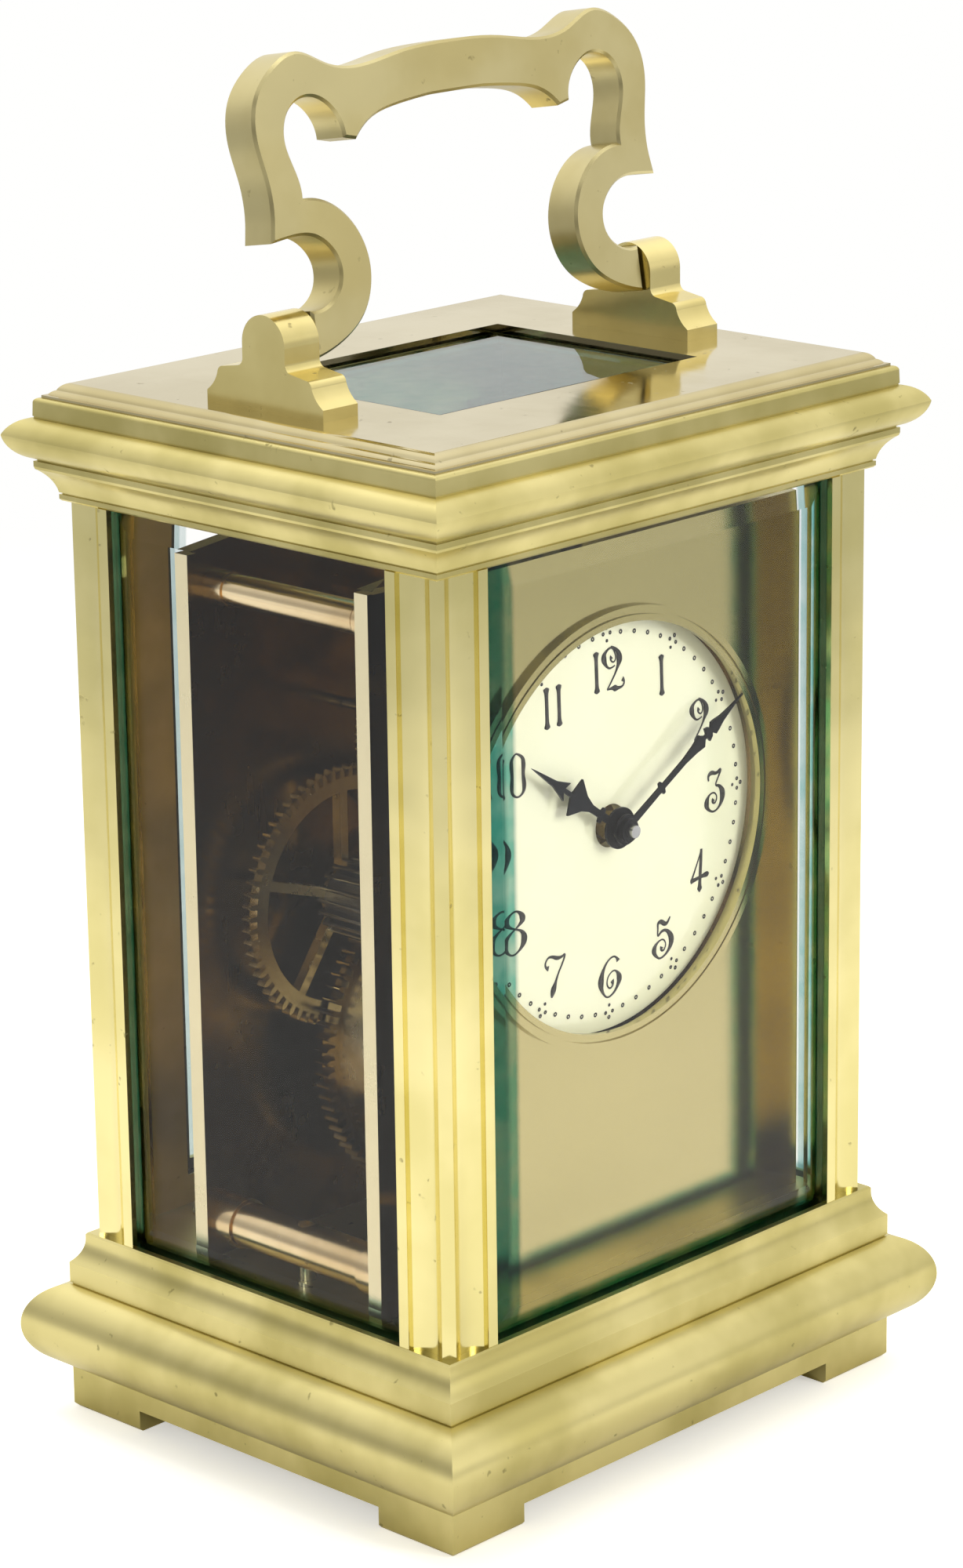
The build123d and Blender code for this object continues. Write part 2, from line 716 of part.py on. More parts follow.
# Rear door: glazed frame that turns on two pins at its right-hand edge
door_low = base_height + door_clearance
door_high = soffit - door_clearance
door_rear_y = door_pin_y + door_edge_radius
door_front_y = door_rear_y - 2 * door_edge_radius
door_left_x = -opening_half_x + door_clearance
door_window_x = opening_half_x - door_stile
door_window_low = door_low + door_rail
door_window_high = door_high - door_rail
with BuildPart() as door_frame:
    block_between((door_left_x, door_front_y, door_low), (door_pin_x, door_rear_y, door_high))
    turned_up(door_pin_x, door_pin_y, [(door_low, door_high, door_edge_radius)])
    window_low = (-door_window_x, door_front_y - 1, door_window_low)
    window_high = (door_window_x, door_rear_y + 1, door_window_high)
    block_between(window_low, window_high, mode=Mode.SUBTRACT)
    rebate_low = (-door_window_x - door_rebate, door_front_y - 1, door_window_low - door_rebate)
    rebate_high = (door_window_x + door_rebate, door_pin_y + 0.5, door_window_high + door_rebate)
    block_between(rebate_low, rebate_high, mode=Mode.SUBTRACT)
    pin_bore = door_pin_radius + pivot_clearance
    drill_up(door_pin_x, door_pin_y, door_low - 1, door_low + door_pin_length / 2 + 0.2, pin_bore)
    drill_up(door_pin_x, door_pin_y, door_high - door_pin_length / 2 - 0.2, door_high + 1, pin_bore)
    knob_x = -opening_half_x + door_stile / 2
    knob_z = (door_low + door_high) / 2
    drill(knob_x, knob_z, door_rear_y + 1, door_front_y - 1, 0.8)
door_frame.part.label = "door_frame"
export_step(door_frame.part, "parts/door_frame.step")

with BuildPart() as door_glass:
    pane_width = 2 * (door_window_x + door_rebate - glass_clearance)
    pane_rise = door_window_high - door_window_low + 2 * (door_rebate - glass_clearance)
    pane_plane = Plane(
        origin=(0, door_front_y + 0.1, (door_window_low + door_window_high) / 2),
        x_dir=(-1, 0, 0),
        z_dir=(0, 1, 0),
    )
    pane_depth = door_pin_y + 0.5 - door_front_y - 0.1
    with BuildSketch(pane_plane):
        Rectangle(pane_width, pane_rise)
    extrude(amount=pane_depth)
door_glass.part.label = "door_glass"
export_step(door_glass.part, "parts/door_glass.step")

# Knob of the door, turned brass, its shank through the stile
with BuildPart() as door_knob:
    knob_rear = door_rear_y + door_knob_length
    turned(knob_x, knob_z, [(door_rear_y, door_front_y, 0.8), (door_rear_y + 0.6, door_rear_y, 1.7)])
    turned(knob_x, knob_z, [(door_rear_y + 2.0, door_rear_y + 0.6, 0.9)])
    turned(knob_x, knob_z, [(knob_rear, door_rear_y + 2.0, door_knob_radius)])
    rounded = door_knob.edges().filter_by(GeomType.CIRCLE).sort_by(Axis.Y)[-1]
    fillet(rounded, radius=0.9)
door_knob.part.label = "door_knob"
export_step(door_knob.part, "parts/door_knob.step")

# Two pins, pressed into the base and the cornice, that the door turns on
with BuildPart() as door_pins:
    turned_up(door_pin_x, door_pin_y, [(base_height - door_pin_length / 2, door_low + door_pin_length / 2, door_pin_radius)])
    turned_up(door_pin_x, door_pin_y, [(door_high - door_pin_length / 2, soffit + door_pin_length / 2, door_pin_radius)])
door_pins.part.label = "door_pins"
export_step(door_pins.part, "parts/door_pins.step")


# Handle: flat scrolled bail that leans back a little on its pins
def handle_half_outline():
    """Right half of the bail, x from its middle and y from the pivot line."""
    end_x = block_inner_x - handle_end_gap
    Spline(
        (0, 28.1), (7.5, 27.75), (14.0, 26.9), (18.2, 27.5), (22.5, 29.15), (26.6, 27.7),
        (29.4, 24.6), (30.0, 21.0), (29.1, 16.2), (29.0, 13.0), (29.5, 10.2),
        tangents=[(1, 0), (0.2, -1)],
    )
    Spline((29.5, 10.2), (26.2, 10.5), (23.6, 10.2), (21.6, 8.9), (20.5, 7.0), (20.7, 4.9), (22.3, 3.2), (end_x, 2.7))
    Line((end_x, 2.7), (end_x, -2.3))
    Spline((end_x, -2.3), (20.4, -0.7), (17.3, 1.7), (15.8, 6.1), (17.3, 10.6), (20.6, 13.4), (24.2, 14.2))
    Spline((24.2, 14.2), (24.6, 16.8), (25.65, 20.4), (24.6, 23.3), (21.9, 24.4), (18.6, 22.8), (17.35, 19.7))
    Line((17.35, 19.7), (15.5, 19.3))
    Spline((15.5, 19.3), (13.2, 21.1), (9.5, 22.1), (4.5, 22.6), (0, 22.65), tangents=[(-0.7, 0.8), (-1, 0)])
    Line((0, 22.65), (0, 28.1))


lean = radians(handle_lean)
handle_plane = Plane(origin=(0, 0, pivot_z), x_dir=(1, 0, 0), z_dir=(0, -cos(lean), sin(lean)))
with BuildPart() as handle:
    with BuildSketch(handle_plane):
        with BuildLine():
            handle_half_outline()
        make_face()
        mirror(about=Plane.YZ)
    extrude(amount=handle_thickness / 2, both=True)
    broad_faces = handle.faces().sort_by(SortBy.AREA)[-2:]
    chamfer(broad_faces.edges(), length=handle_edge)
    bore_start = block_inner_x - handle_end_gap - handle_pin_in_handle
    for side in (-1, 1):
        with BuildSketch(Plane.YZ.offset(side * (bore_start - 0.2))):
            with Locations((0, pivot_z)):
                Circle(handle_pin_radius + pivot_clearance)
        extrude(amount=side * (handle_pin_in_handle + 2), mode=Mode.SUBTRACT)
handle.part.label = "handle"
export_step(handle.part, "parts/handle.step")

with BuildPart() as handle_pins:
    for side in (-1, 1):
        with BuildSketch(Plane.YZ.offset(side * bore_start)):
            with Locations((0, pivot_z)):
                Circle(handle_pin_radius)
        extrude(amount=side * (handle_pin_in_handle + handle_end_gap + handle_pin_in_ear))
handle_pins.part.label = "handle_pins"
export_step(handle_pins.part, "parts/handle_pins.step")


# Handle blocks: a short ogee foot with a round-headed ear
def block_half_outline():
    """Right half of a block's profile, y outwards and z from the top plate."""
    toe = block_half_length
    Line((0, 0), (toe, 0))
    Line((toe, 0), (toe, block_toe_height))
    Line((toe, block_toe_height), (toe - 0.25, block_toe_height + 0.2))
    ThreePointArc((toe - 0.25, block_toe_height + 0.2), (toe - 1.15, 2.4), (toe - 1.6, 3.3))
    ThreePointArc((toe - 1.6, 3.3), (toe - 1.85, 3.85), (toe - 2.5, 4.1))
    Line((toe - 2.5, 4.1), (ear_half_width + 0.8, 4.45))
    ThreePointArc((ear_half_width + 0.8, 4.45), (ear_half_width + 0.22, 4.75), (ear_half_width, 5.4))
    Line((ear_half_width, 5.4), (ear_half_width, handle_pivot_rise))
    ThreePointArc(
        (ear_half_width, handle_pivot_rise),
        (ear_half_width * cos(pi / 4), handle_pivot_rise + ear_half_width * sin(pi / 4)),
        (0, handle_pivot_rise + ear_half_width),
    )
    Line((0, handle_pivot_rise + ear_half_width), (0, 0))


for name, side in (("left", -1), ("right", 1)):
    with BuildPart() as block:
        with BuildSketch(Plane(origin=(side * block_inner_x, 0, case_top), x_dir=(0, 1, 0), z_dir=(1, 0, 0))):
            with BuildLine():
                block_half_outline()
            make_face()
            mirror(about=Plane.YZ)
        extrude(amount=side * block_thickness)
        with BuildSketch(Plane.YZ.offset(side * (block_inner_x - 1))):
            with Locations((0, pivot_z)):
                Circle(handle_pin_radius)
        extrude(amount=side * (handle_pin_in_ear + 1), mode=Mode.SUBTRACT)
        for along_y in (-block_screw_spacing / 2, block_screw_spacing / 2):
            drill_up(side * block_screw_x, along_y, case_top - 1, case_top + block_screw_reach, hole_radius)
    block.part.label = f"{name}_block"
    export_step(block.part, f"parts/{name}_block.step")

# Screws of the case: four up and four down into the posts, four up into the handle blocks
with BuildPart() as case_screws:
    for name, sx, sy in corner_signs:
        screw_up(sx * post_screw_x, sy * post_screw_y, post_screw_low_head, base_height + post_screw_reach - 0.2)
        screw_up(sx * post_screw_x, sy * post_screw_y, post_screw_high_head, soffit - post_screw_reach + 0.2)
        screw_up(sx * block_screw_x, sy * block_screw_spacing / 2, ceiling, case_top + block_screw_reach - 0.2)
case_screws.part.label = "case_screws"
export_step(case_screws.part, "parts/case_screws.step")

# Movement plates: two brass plates that stand on the base, with a hole for every pivot
platform_screws = [
    (side * (platform_half_x - 3), plate_y, plate_middle)
    for side in (-1, 1)
    for plate_y, plate_middle in (
        ("front", (front_plate_inner_y + front_plate_outer_y) / 2),
        ("back", (back_plate_inner_y + back_plate_outer_y) / 2),
    )
]
small_screw_radius = 0.5
small_screw_head = 1.0
pillar_places = (
    (-pillar_top_x, pillar_top_z),
    (pillar_top_x, pillar_top_z),
    (-pillar_bottom_x, pillar_bottom_z),
    (pillar_bottom_x, pillar_bottom_z),
)
train_places = ((intermediate_x, intermediate_z), (third_x, third_z), (0, contrate_z))


def drill_plate(rear_y, front_y, centre_hole, barrel_hole, plate_name):
    """Holes that both plates share."""
    for x, z in pillar_places:
        drill(x, z, rear_y + 1, front_y - 1, pillar_end_radius)
    for x, z in train_places:
        drill(x, z, rear_y + 1, front_y - 1, pivot_radius + pivot_clearance)
    drill(0, centre_z, rear_y + 1, front_y - 1, centre_hole + pivot_clearance)
    drill(0, barrel_z, rear_y + 1, front_y - 1, barrel_hole + pivot_clearance)
    for x, name, y in platform_screws:
        if name == plate_name:
            drill_up(x, y, plate_top - 4, plate_top + 1, small_screw_radius + screw_hole_clearance)


centre_arbor_radius = 0.7
setting_arbor_radius = 1.0
click_x = click_pivot_x
click_z = barrel_z + click_pivot_rise
spring_foot_x = -8.6
spring_foot_z = click_z + 2.6
with BuildPart() as back_plate:
    block_between((-plate_half_x, back_plate_inner_y, base_height), (plate_half_x, back_plate_outer_y, plate_top))
    drill_plate(back_plate_outer_y, back_plate_inner_y, setting_arbor_radius, barrel_pivot_radius, "back")
    drill(click_x, click_z, back_plate_outer_y + 1, back_plate_inner_y - 1, small_screw_radius + screw_hole_clearance)
    drill(spring_foot_x, spring_foot_z, back_plate_outer_y + 1, back_plate_inner_y - 1, small_screw_radius + screw_hole_clearance)
back_plate.part.label = "back_plate"
export_step(back_plate.part, "parts/back_plate.step")

# The front plate also carries the stud of the minute wheel
stud_radius = 0.6
dome_radius = (dial_radius**2 + dial_dome**2) / (2 * dial_dome)
dial_edge_y = dial_front_y + dial_dome
dial_rear_y = dial_edge_y + dial_thickness
stud_front_y = dial_rear_y + running_gap
with BuildPart() as front_plate:
    block_between((-plate_half_x, front_plate_outer_y, base_height), (plate_half_x, front_plate_inner_y, plate_top))
    drill_plate(front_plate_inner_y, front_plate_outer_y, centre_arbor_radius, pillar_end_radius, "front")
    turned(minute_x, minute_z, [(front_plate_inner_y, stud_front_y, stud_radius)])
front_plate.part.label = "front_plate"
export_step(front_plate.part, "parts/front_plate.step")

# Pillars: turned brass with collars, pinned behind the back plate
for name, x, z, radius, collar, crossed_hole in (
    ("top_left", -pillar_top_x, pillar_top_z, pillar_top_radius, pillar_top_collar_radius, False),
    ("top_right", pillar_top_x, pillar_top_z, pillar_top_radius, pillar_top_collar_radius, False),
    ("bottom_left", -pillar_bottom_x, pillar_bottom_z, pillar_bottom_radius, pillar_bottom_collar_radius, True),
    ("bottom_right", pillar_bottom_x, pillar_bottom_z, pillar_bottom_radius, pillar_bottom_collar_radius, True),
):
    with BuildPart() as pillar:
        groove = 0.25
        rear_collar = back_plate_inner_y - pillar_collar_length
        front_collar = front_plate_inner_y + pillar_collar_length
        turned(x, z, [(back_plate_outer_y + pillar_tail, back_plate_inner_y, pillar_end_radius)])
        turned(x, z, [(back_plate_inner_y, rear_collar, collar)])
        turned(x, z, [(rear_collar, rear_collar - groove, radius - groove)])
        turned(x, z, [(rear_collar - groove, front_collar + groove, radius)])
        turned(x, z, [(front_collar + groove, front_collar, radius - groove)])
        turned(x, z, [(front_collar, front_plate_inner_y, collar)])
        turned(x, z, [(front_plate_inner_y, front_plate_outer_y, pillar_end_radius)])
        pin_low = z - pillar_end_radius - 1
        pin_y = back_plate_outer_y + pillar_pin_radius + 0.02
        drill_up(x, pin_y, pin_low, pin_low + 2 * pillar_end_radius + 2, pillar_pin_radius + 0.02)
        if crossed_hole:
            drill_up(x, 0, z - radius - 1, z + radius + 1, fixing_screw_radius + screw_hole_clearance)
    pillar.part.label = f"pillar_{name}"
    export_step(pillar.part, f"parts/pillar_{name}.step")

with BuildPart() as pillar_pins:
    for x, z in pillar_places:
        low_z = z - pillar_pin_length / 2
        turned_up(x, back_plate_outer_y + pillar_pin_radius + 0.02, [(low_z, low_z + pillar_pin_length, pillar_pin_radius)])
pillar_pins.part.label = "pillar_pins"
export_step(pillar_pins.part, "parts/pillar_pins.step")

# Steel screws that hold the movement down, up through the deck into the bottom pillars
with BuildPart() as fixing_screws:
    for side in (-1, 1):
        screw_up(side * pillar_bottom_x, 0, deck_low, pillar_bottom_z + 1.4, shank_radius=fixing_screw_radius, head_radius=1.6)
fixing_screws.part.label = "fixing_screws"
export_step(fixing_screws.part, "parts/fixing_screws.step")

# Going barrel: great wheel and drum in one
with BuildPart() as barrel:
    with BuildSketch(facing(0, great_rear_y, barrel_z)):
        toothed_disc(great_teeth, great_module, True, direction(0, barrel_z, intermediate_x, intermediate_z))
    extrude(amount=great_width)
    great_front_y = great_rear_y - great_width
    turned(0, barrel_z, [(great_front_y, drum_front_y, drum_radius)])
    cap_seat_y = drum_front_y + cap_thickness
    drill(0, barrel_z, great_front_y, drum_front_y - 1, drum_radius - drum_wall)
    drill(0, barrel_z, cap_seat_y, drum_front_y - 1, drum_radius - drum_wall / 2)
    drill(0, barrel_z, great_rear_y + 1, great_front_y - 1, barrel_arbor_radius + pivot_clearance)
barrel.part.label = "barrel"
export_step(barrel.part, "parts/barrel.step")

with BuildPart() as barrel_cap:
    turned(0, barrel_z, [(cap_seat_y, drum_front_y, drum_radius - drum_wall / 2 - 0.02)])
    drill(0, barrel_z, cap_seat_y + 1, drum_front_y - 1, barrel_arbor_radius + pivot_clearance)
barrel_cap.part.label = "barrel_cap"
export_step(barrel_cap.part, "parts/barrel_cap.step")

# Mainspring, wound flat inside the barrel from hub to wall
mainspring_start = barrel_hub_radius + running_gap + mainspring_thickness
mainspring_half_turns = 2 * mainspring_turns
mainspring_room = drum_radius - drum_wall - running_gap - mainspring_thickness - mainspring_start
mainspring_growth = mainspring_room / mainspring_half_turns
with BuildPart() as mainspring:
    with BuildSketch(facing(0, great_front_y - running_gap, barrel_z)):
        spiral_band(mainspring_start, mainspring_growth, mainspring_half_turns, mainspring_thickness)
    extrude(amount=great_front_y - cap_seat_y - 2 * running_gap)
mainspring.part.label = "mainspring"
export_step(mainspring.part, "parts/mainspring.step")
mainspring_gap = least_coil_gap(mainspring_start, mainspring_growth, mainspring_half_turns, mainspring_thickness)
print(f"mainspring: least gap between turns {mainspring_gap:.2f} mm")

# Winding arbor: hub inside the barrel, square for the key behind the back plate
ratchet_front_y = back_plate_outer_y + end_shake
ratchet_rear_y = ratchet_front_y + ratchet_thickness
with BuildPart() as winding_arbor:
    inner_rear = back_plate_inner_y - end_shake
    inner_front = front_plate_inner_y + end_shake
    hub_rear = great_front_y - running_gap
    hub_front = cap_seat_y + running_gap
    turned(0, barrel_z, [(inner_rear, inner_front, barrel_arbor_radius), (hub_rear, hub_front, barrel_hub_radius)])
    turned(0, barrel_z, [(ratchet_rear_y, inner_rear, barrel_pivot_radius)])
    turned(0, barrel_z, [(inner_front, front_plate_outer_y, pillar_end_radius)])
    with BuildSketch(facing(0, ratchet_rear_y + winding_square_length, barrel_z)):
        Rectangle(winding_square, winding_square)
    extrude(amount=winding_square_length)
winding_arbor.part.label = "winding_arbor"
export_step(winding_arbor.part, "parts/winding_arbor.step")

# Ratchet wheel on the winding arbor, with saw teeth and one tooth space under the click
space_angle = degrees(atan2(ratchet_radius, -0.45))
with BuildPart() as ratchet_wheel:
    with BuildSketch(facing(0, ratchet_rear_y, barrel_z)):
        with BuildLine():
            for index in range(ratchet_teeth):
                face_angle = radians(space_angle) + index * 2 * pi / ratchet_teeth
                next_angle = face_angle + 2 * pi / ratchet_teeth
                Line(polar(ratchet_radius, face_angle), polar(ratchet_root_radius, face_angle))
                # the next tooth's back slopes from this tip down to the next root
                Line(polar(ratchet_radius, face_angle), polar(ratchet_root_radius, next_angle))
        make_face()
        Circle(barrel_pivot_radius, mode=Mode.SUBTRACT)
    extrude(amount=ratchet_thickness)
ratchet_wheel.part.label = "ratchet_wheel"
export_step(ratchet_wheel.part, "parts/ratchet_wheel.step")

# Click: steel pawl that stands just clear of the tooth tips and drops into a space
click_tip_z = barrel_z + ratchet_radius + click_tip_clearance
with BuildPart() as click:
    with BuildSketch(facing(0, ratchet_rear_y, 0)):
        with BuildLine():
            Polyline(
                (-0.35, click_tip_z),
                (0.9, click_tip_z + 0.9),
                (click_x - 1.2, click_z - 1.3),
                (click_x + 0.6, click_z - 1.3),
                (click_x + 0.6, click_z + 1.3),
                (click_x - 1.6, click_z + 1.3),
                (0.3, click_tip_z + 2.3),
                (-0.35, click_tip_z),
            )
        make_face()
        with Locations((click_x, click_z)):
            Circle(1.4)
            Circle(small_screw_radius + pivot_clearance, mode=Mode.SUBTRACT)
    extrude(amount=ratchet_thickness)
click.part.label = "click"
export_step(click.part, "parts/click.step")

# Click spring: thin steel strip screwed to the back plate, its free end just above the click
with BuildPart() as click_spring:
    spring_tip = (1.6, click_tip_z + 2.3 + 0.55)
    with BuildSketch(facing(0, ratchet_rear_y, 0)):
        with Locations((spring_foot_x, spring_foot_z)):
            Circle(1.4)
            Circle(small_screw_radius, mode=Mode.SUBTRACT)
        with BuildLine():
            foot_edge = spring_foot_x + 1.3
            Line((foot_edge, spring_foot_z + 0.3), (foot_edge, spring_foot_z - 0.1))
            ThreePointArc((foot_edge, spring_foot_z - 0.1), (-3.0, spring_tip[1] + 0.85), spring_tip)
            Line(spring_tip, (spring_tip[0] + 0.1, spring_tip[1] + 0.3))
            ThreePointArc((spring_tip[0] + 0.1, spring_tip[1] + 0.3), (-3.0, spring_tip[1] + 1.2), (foot_edge, spring_foot_z + 0.3))
        make_face()
    extrude(amount=ratchet_rear_y - back_plate_outer_y)
click_spring.part.label = "click_spring"
export_step(click_spring.part, "parts/click_spring.step")


# Going train. Each arbor is steel with its pinion cut on it, each wheel is crossed-out brass.
def plain_arbor(x, z):
    """Arbor with a pivot in each plate."""
    rear = back_plate_inner_y - end_shake
    front = front_plate_inner_y + end_shake
    turned(x, z, [(rear, front, arbor_radius)])
    turned(x, z, [(back_plate_outer_y - 0.2, rear, pivot_radius), (front, front_plate_outer_y + 0.2, pivot_radius)])


def pinion(x, z, leaves, module, rear_y, length, first_leaf):
    """Pinion along an arbor."""
    with BuildSketch(facing(x, rear_y, z)) as section:
        toothed_disc(leaves, module, False, first_leaf)
    extrude(section.sketch, amount=length)


def wheel(x, z, teeth, module, rear_y, width, first_tooth, spokes, rim, hub, spoke, bore):
    """Crossed-out wheel on an arbor."""
    rim_radius = teeth * module / 2 - module * wheel_dedendum - rim
    with BuildSketch(facing(x, rear_y, z)) as section:
        toothed_disc(teeth, module, True, first_tooth)
        crossed(rim_radius, hub, spokes, spoke, first_spoke=90.0)
        Circle(bore, mode=Mode.SUBTRACT)
    extrude(section.sketch, amount=width)


to_barrel = direction(intermediate_x, intermediate_z, 0, barrel_z)
to_centre = direction(intermediate_x, intermediate_z, 0, centre_z)
with BuildPart() as intermediate_arbor:
    plain_arbor(intermediate_x, intermediate_z)
    first_leaf = to_barrel + 180 / intermediate_leaves
    pinion_rear = intermediate_rear_y - intermediate_width
    pinion(intermediate_x, intermediate_z, intermediate_leaves, great_module, pinion_rear, intermediate_pinion_length, first_leaf)
intermediate_arbor.part.label = "intermediate_arbor"
export_step(intermediate_arbor.part, "parts/intermediate_arbor.step")

with BuildPart() as intermediate_wheel:
    wheel(
        intermediate_x, intermediate_z, intermediate_teeth, intermediate_module,
        intermediate_rear_y, intermediate_width, to_centre,
        spokes=5, rim=1.6, hub=2.6, spoke=1.1, bore=arbor_radius,
    )
intermediate_wheel.part.label = "intermediate_wheel"
export_step(intermediate_wheel.part, "parts/intermediate_wheel.step")

# Centre arbor: carries the hands in front and the setting square behind
hub_rear_y = back_plate_outer_y + 0.6
with BuildPart() as centre_arbor:
    rear = back_plate_inner_y - end_shake
    front = front_plate_inner_y + end_shake
    turned(0, centre_z, [(rear, front, centre_arbor_thick_radius), (hub_rear_y, rear, setting_arbor_radius)])
    turned(0, centre_z, [(front, arbor_tip_y, centre_arbor_radius)])
    first_leaf = direction(0, centre_z, intermediate_x, intermediate_z) + 180 / centre_leaves
    pinion(0, centre_z, centre_leaves, intermediate_module, centre_pinion_rear_y, centre_pinion_length, first_leaf)
    with BuildSketch(facing(0, hub_rear_y + setting_square_length, centre_z)):
        Rectangle(setting_square, setting_square)
    extrude(amount=setting_square_length)
centre_arbor.part.label = "centre_arbor"
export_step(centre_arbor.part, "parts/centre_arbor.step")

with BuildPart() as centre_wheel:
    wheel(
        0, centre_z, centre_teeth, centre_module, centre_wheel_rear_y, centre_wheel_width,
        direction(0, centre_z, third_x, third_z),
        spokes=5, rim=1.1, hub=2.4, spoke=0.9, bore=centre_arbor_thick_radius,
    )
centre_wheel.part.label = "centre_wheel"
export_step(centre_wheel.part, "parts/centre_wheel.step")

with BuildPart() as third_arbor:
    plain_arbor(third_x, third_z)
    first_leaf = direction(third_x, third_z, 0, centre_z) + 180 / third_leaves
    pinion_rear = centre_wheel_rear_y + (third_pinion_length - centre_wheel_width) / 2
    pinion(third_x, third_z, third_leaves, centre_module, pinion_rear, third_pinion_length, first_leaf)
third_arbor.part.label = "third_arbor"
export_step(third_arbor.part, "parts/third_arbor.step")

with BuildPart() as third_wheel:
    wheel(
        third_x, third_z, third_teeth, third_module, third_wheel_rear_y, third_wheel_width,
        direction(third_x, third_z, 0, contrate_z),
        spokes=5, rim=1.0, hub=2.0, spoke=0.8, bore=arbor_radius,
    )
third_wheel.part.label = "third_wheel"
export_step(third_wheel.part, "parts/third_wheel.step")

with BuildPart() as contrate_arbor:
    plain_arbor(0, contrate_z)
    first_leaf = direction(0, contrate_z, third_x, third_z) + 180 / contrate_leaves
    pinion(0, contrate_z, contrate_leaves, third_module, contrate_pinion_rear_y, contrate_pinion_length, first_leaf)
contrate_arbor.part.label = "contrate_arbor"
export_step(contrate_arbor.part, "parts/contrate_arbor.step")

# Contrate wheel: crown teeth on its front face that drive the upright escape pinion
contrate_radius = contrate_teeth * contrate_module / 2
escape_pinion_radius = escape_leaves * contrate_module / 2
crown_tip_y = escape_y + escape_pinion_radius - 0.2
crown_root_y = crown_tip_y + 0.7
crown_web_y = crown_root_y + 0.9
crown_half_width = 0.4
crown_slot = 0.46
with BuildPart() as contrate_wheel:
    with BuildSketch(facing(0, crown_web_y, contrate_z)):
        Circle(contrate_radius + crown_half_width)
        crossed(contrate_radius - crown_half_width, 1.8, 4, 0.8, first_spoke=45.0)
        Circle(arbor_radius, mode=Mode.SUBTRACT)
    extrude(amount=crown_web_y - crown_root_y)
    with BuildSketch(facing(0, crown_root_y, contrate_z)):
        Circle(contrate_radius + crown_half_width)
        Circle(contrate_radius - crown_half_width, mode=Mode.SUBTRACT)
        # a tooth stands at the top, where the pinion has a space
        with PolarLocations(contrate_radius, contrate_teeth, start_angle=90 + 180 / contrate_teeth):
            Rectangle(4 * crown_half_width, crown_slot, mode=Mode.SUBTRACT)
    extrude(amount=crown_root_y - crown_tip_y)
contrate_wheel.part.label = "contrate_wheel"
export_step(contrate_wheel.part, "parts/contrate_wheel.step")

# Motion work between the front plate and the dial
motion_rear_y = front_plate_outer_y - end_shake
with BuildPart() as cannon_pinion:
    with BuildSketch(facing(0, motion_rear_y, centre_z)):
        toothed_disc(cannon_teeth, cannon_module, False, minute_wheel_angle + 180 / cannon_teeth)
    extrude(amount=1.2)
    turned(0, centre_z, [(motion_rear_y - 1.2, minute_hand_front_y + hand_thickness, cannon_pipe_radius)])
    drill(0, centre_z, motion_rear_y + 1, arbor_tip_y, cannon_bore_radius)
cannon_pinion.part.label = "cannon_pinion"
export_step(cannon_pinion.part, "parts/cannon_pinion.step")

hour_wheel_rear_y = motion_rear_y - 1.2 - running_gap
minute_wheel_rear_y = motion_rear_y - 0.1
with BuildPart() as minute_wheel:
    with BuildSketch(facing(minute_x, minute_wheel_rear_y, minute_z)):
        toothed_disc(minute_teeth, cannon_module, True, minute_wheel_angle + 180)
    extrude(amount=1.0)
    leaf_angle = minute_wheel_angle + 180 + 180 / minute_leaves
    pinion(minute_x, minute_z, minute_leaves, hour_module, minute_wheel_rear_y - 1.0, 1.4, leaf_angle)
    drill(minute_x, minute_z, minute_wheel_rear_y + 1, minute_wheel_rear_y - 3, stud_radius + pivot_clearance)
minute_wheel.part.label = "minute_wheel"
export_step(minute_wheel.part, "parts/minute_wheel.step")

hour_pipe_bore = cannon_pipe_radius + 2 * pivot_clearance
with BuildPart() as hour_wheel:
    with BuildSketch(facing(0, hour_wheel_rear_y, centre_z)):
        toothed_disc(hour_teeth, hour_module, True, minute_wheel_angle)
    extrude(amount=0.8)
    turned(0, centre_z, [(hour_wheel_rear_y - 0.8, hour_hand_front_y + hand_thickness, hour_pipe_bore + hour_pipe_wall)])
    drill(0, centre_z, hour_wheel_rear_y + 1, arbor_tip_y, hour_pipe_bore)
hour_wheel.part.label = "hour_wheel"
export_step(hour_wheel.part, "parts/hour_wheel.step")

# Dial mask: gilt plate with a round window, soldered to four feet on the front plate
mask_rear_y = mask_front_y + mask_thickness
with BuildPart() as dial_mask:
    block_between((-mask_half_x, mask_front_y, base_height), (mask_half_x, mask_rear_y, mask_top))
    drill(0, centre_z, mask_rear_y + 1, mask_front_y - 1, mask_window_radius)
    for x in (-26.0, 26.0):
        for z in (33.0, 90.0):
            turned(x, z, [(front_plate_outer_y, mask_rear_y, mask_foot_radius)])
dial_mask.part.label = "dial_mask"
export_step(dial_mask.part, "parts/dial_mask.step")

# Enamel dial, slightly domed, on three feet that stand on the front plate
with BuildPart() as dial:
    with BuildSketch(Plane.YZ):
        with BuildLine():
            Line((dial_front_y, centre_z), (dial_rear_y, centre_z))
            Line((dial_rear_y, centre_z), (dial_rear_y, centre_z + dial_radius))
            Line((dial_rear_y, centre_z + dial_radius), (dial_edge_y, centre_z + dial_radius))
            RadiusArc((dial_edge_y, centre_z + dial_radius), (dial_front_y, centre_z), -dome_radius)
        make_face()
    revolve(axis=Axis((0, 0, centre_z), (0, 1, 0)))
    for angle in (90, 210, 330):
        foot_x = 19.5 * cos(radians(angle))
        foot_z = centre_z + 19.5 * sin(radians(angle))
        turned(foot_x, foot_z, [(front_plate_outer_y, dial_rear_y, 0.9)])
    drill(0, centre_z, dial_rear_y + 1, dial_front_y - 1, dial_hole_radius)
dial.part.label = "dial"
export_step(dial.part, "parts/dial.step")

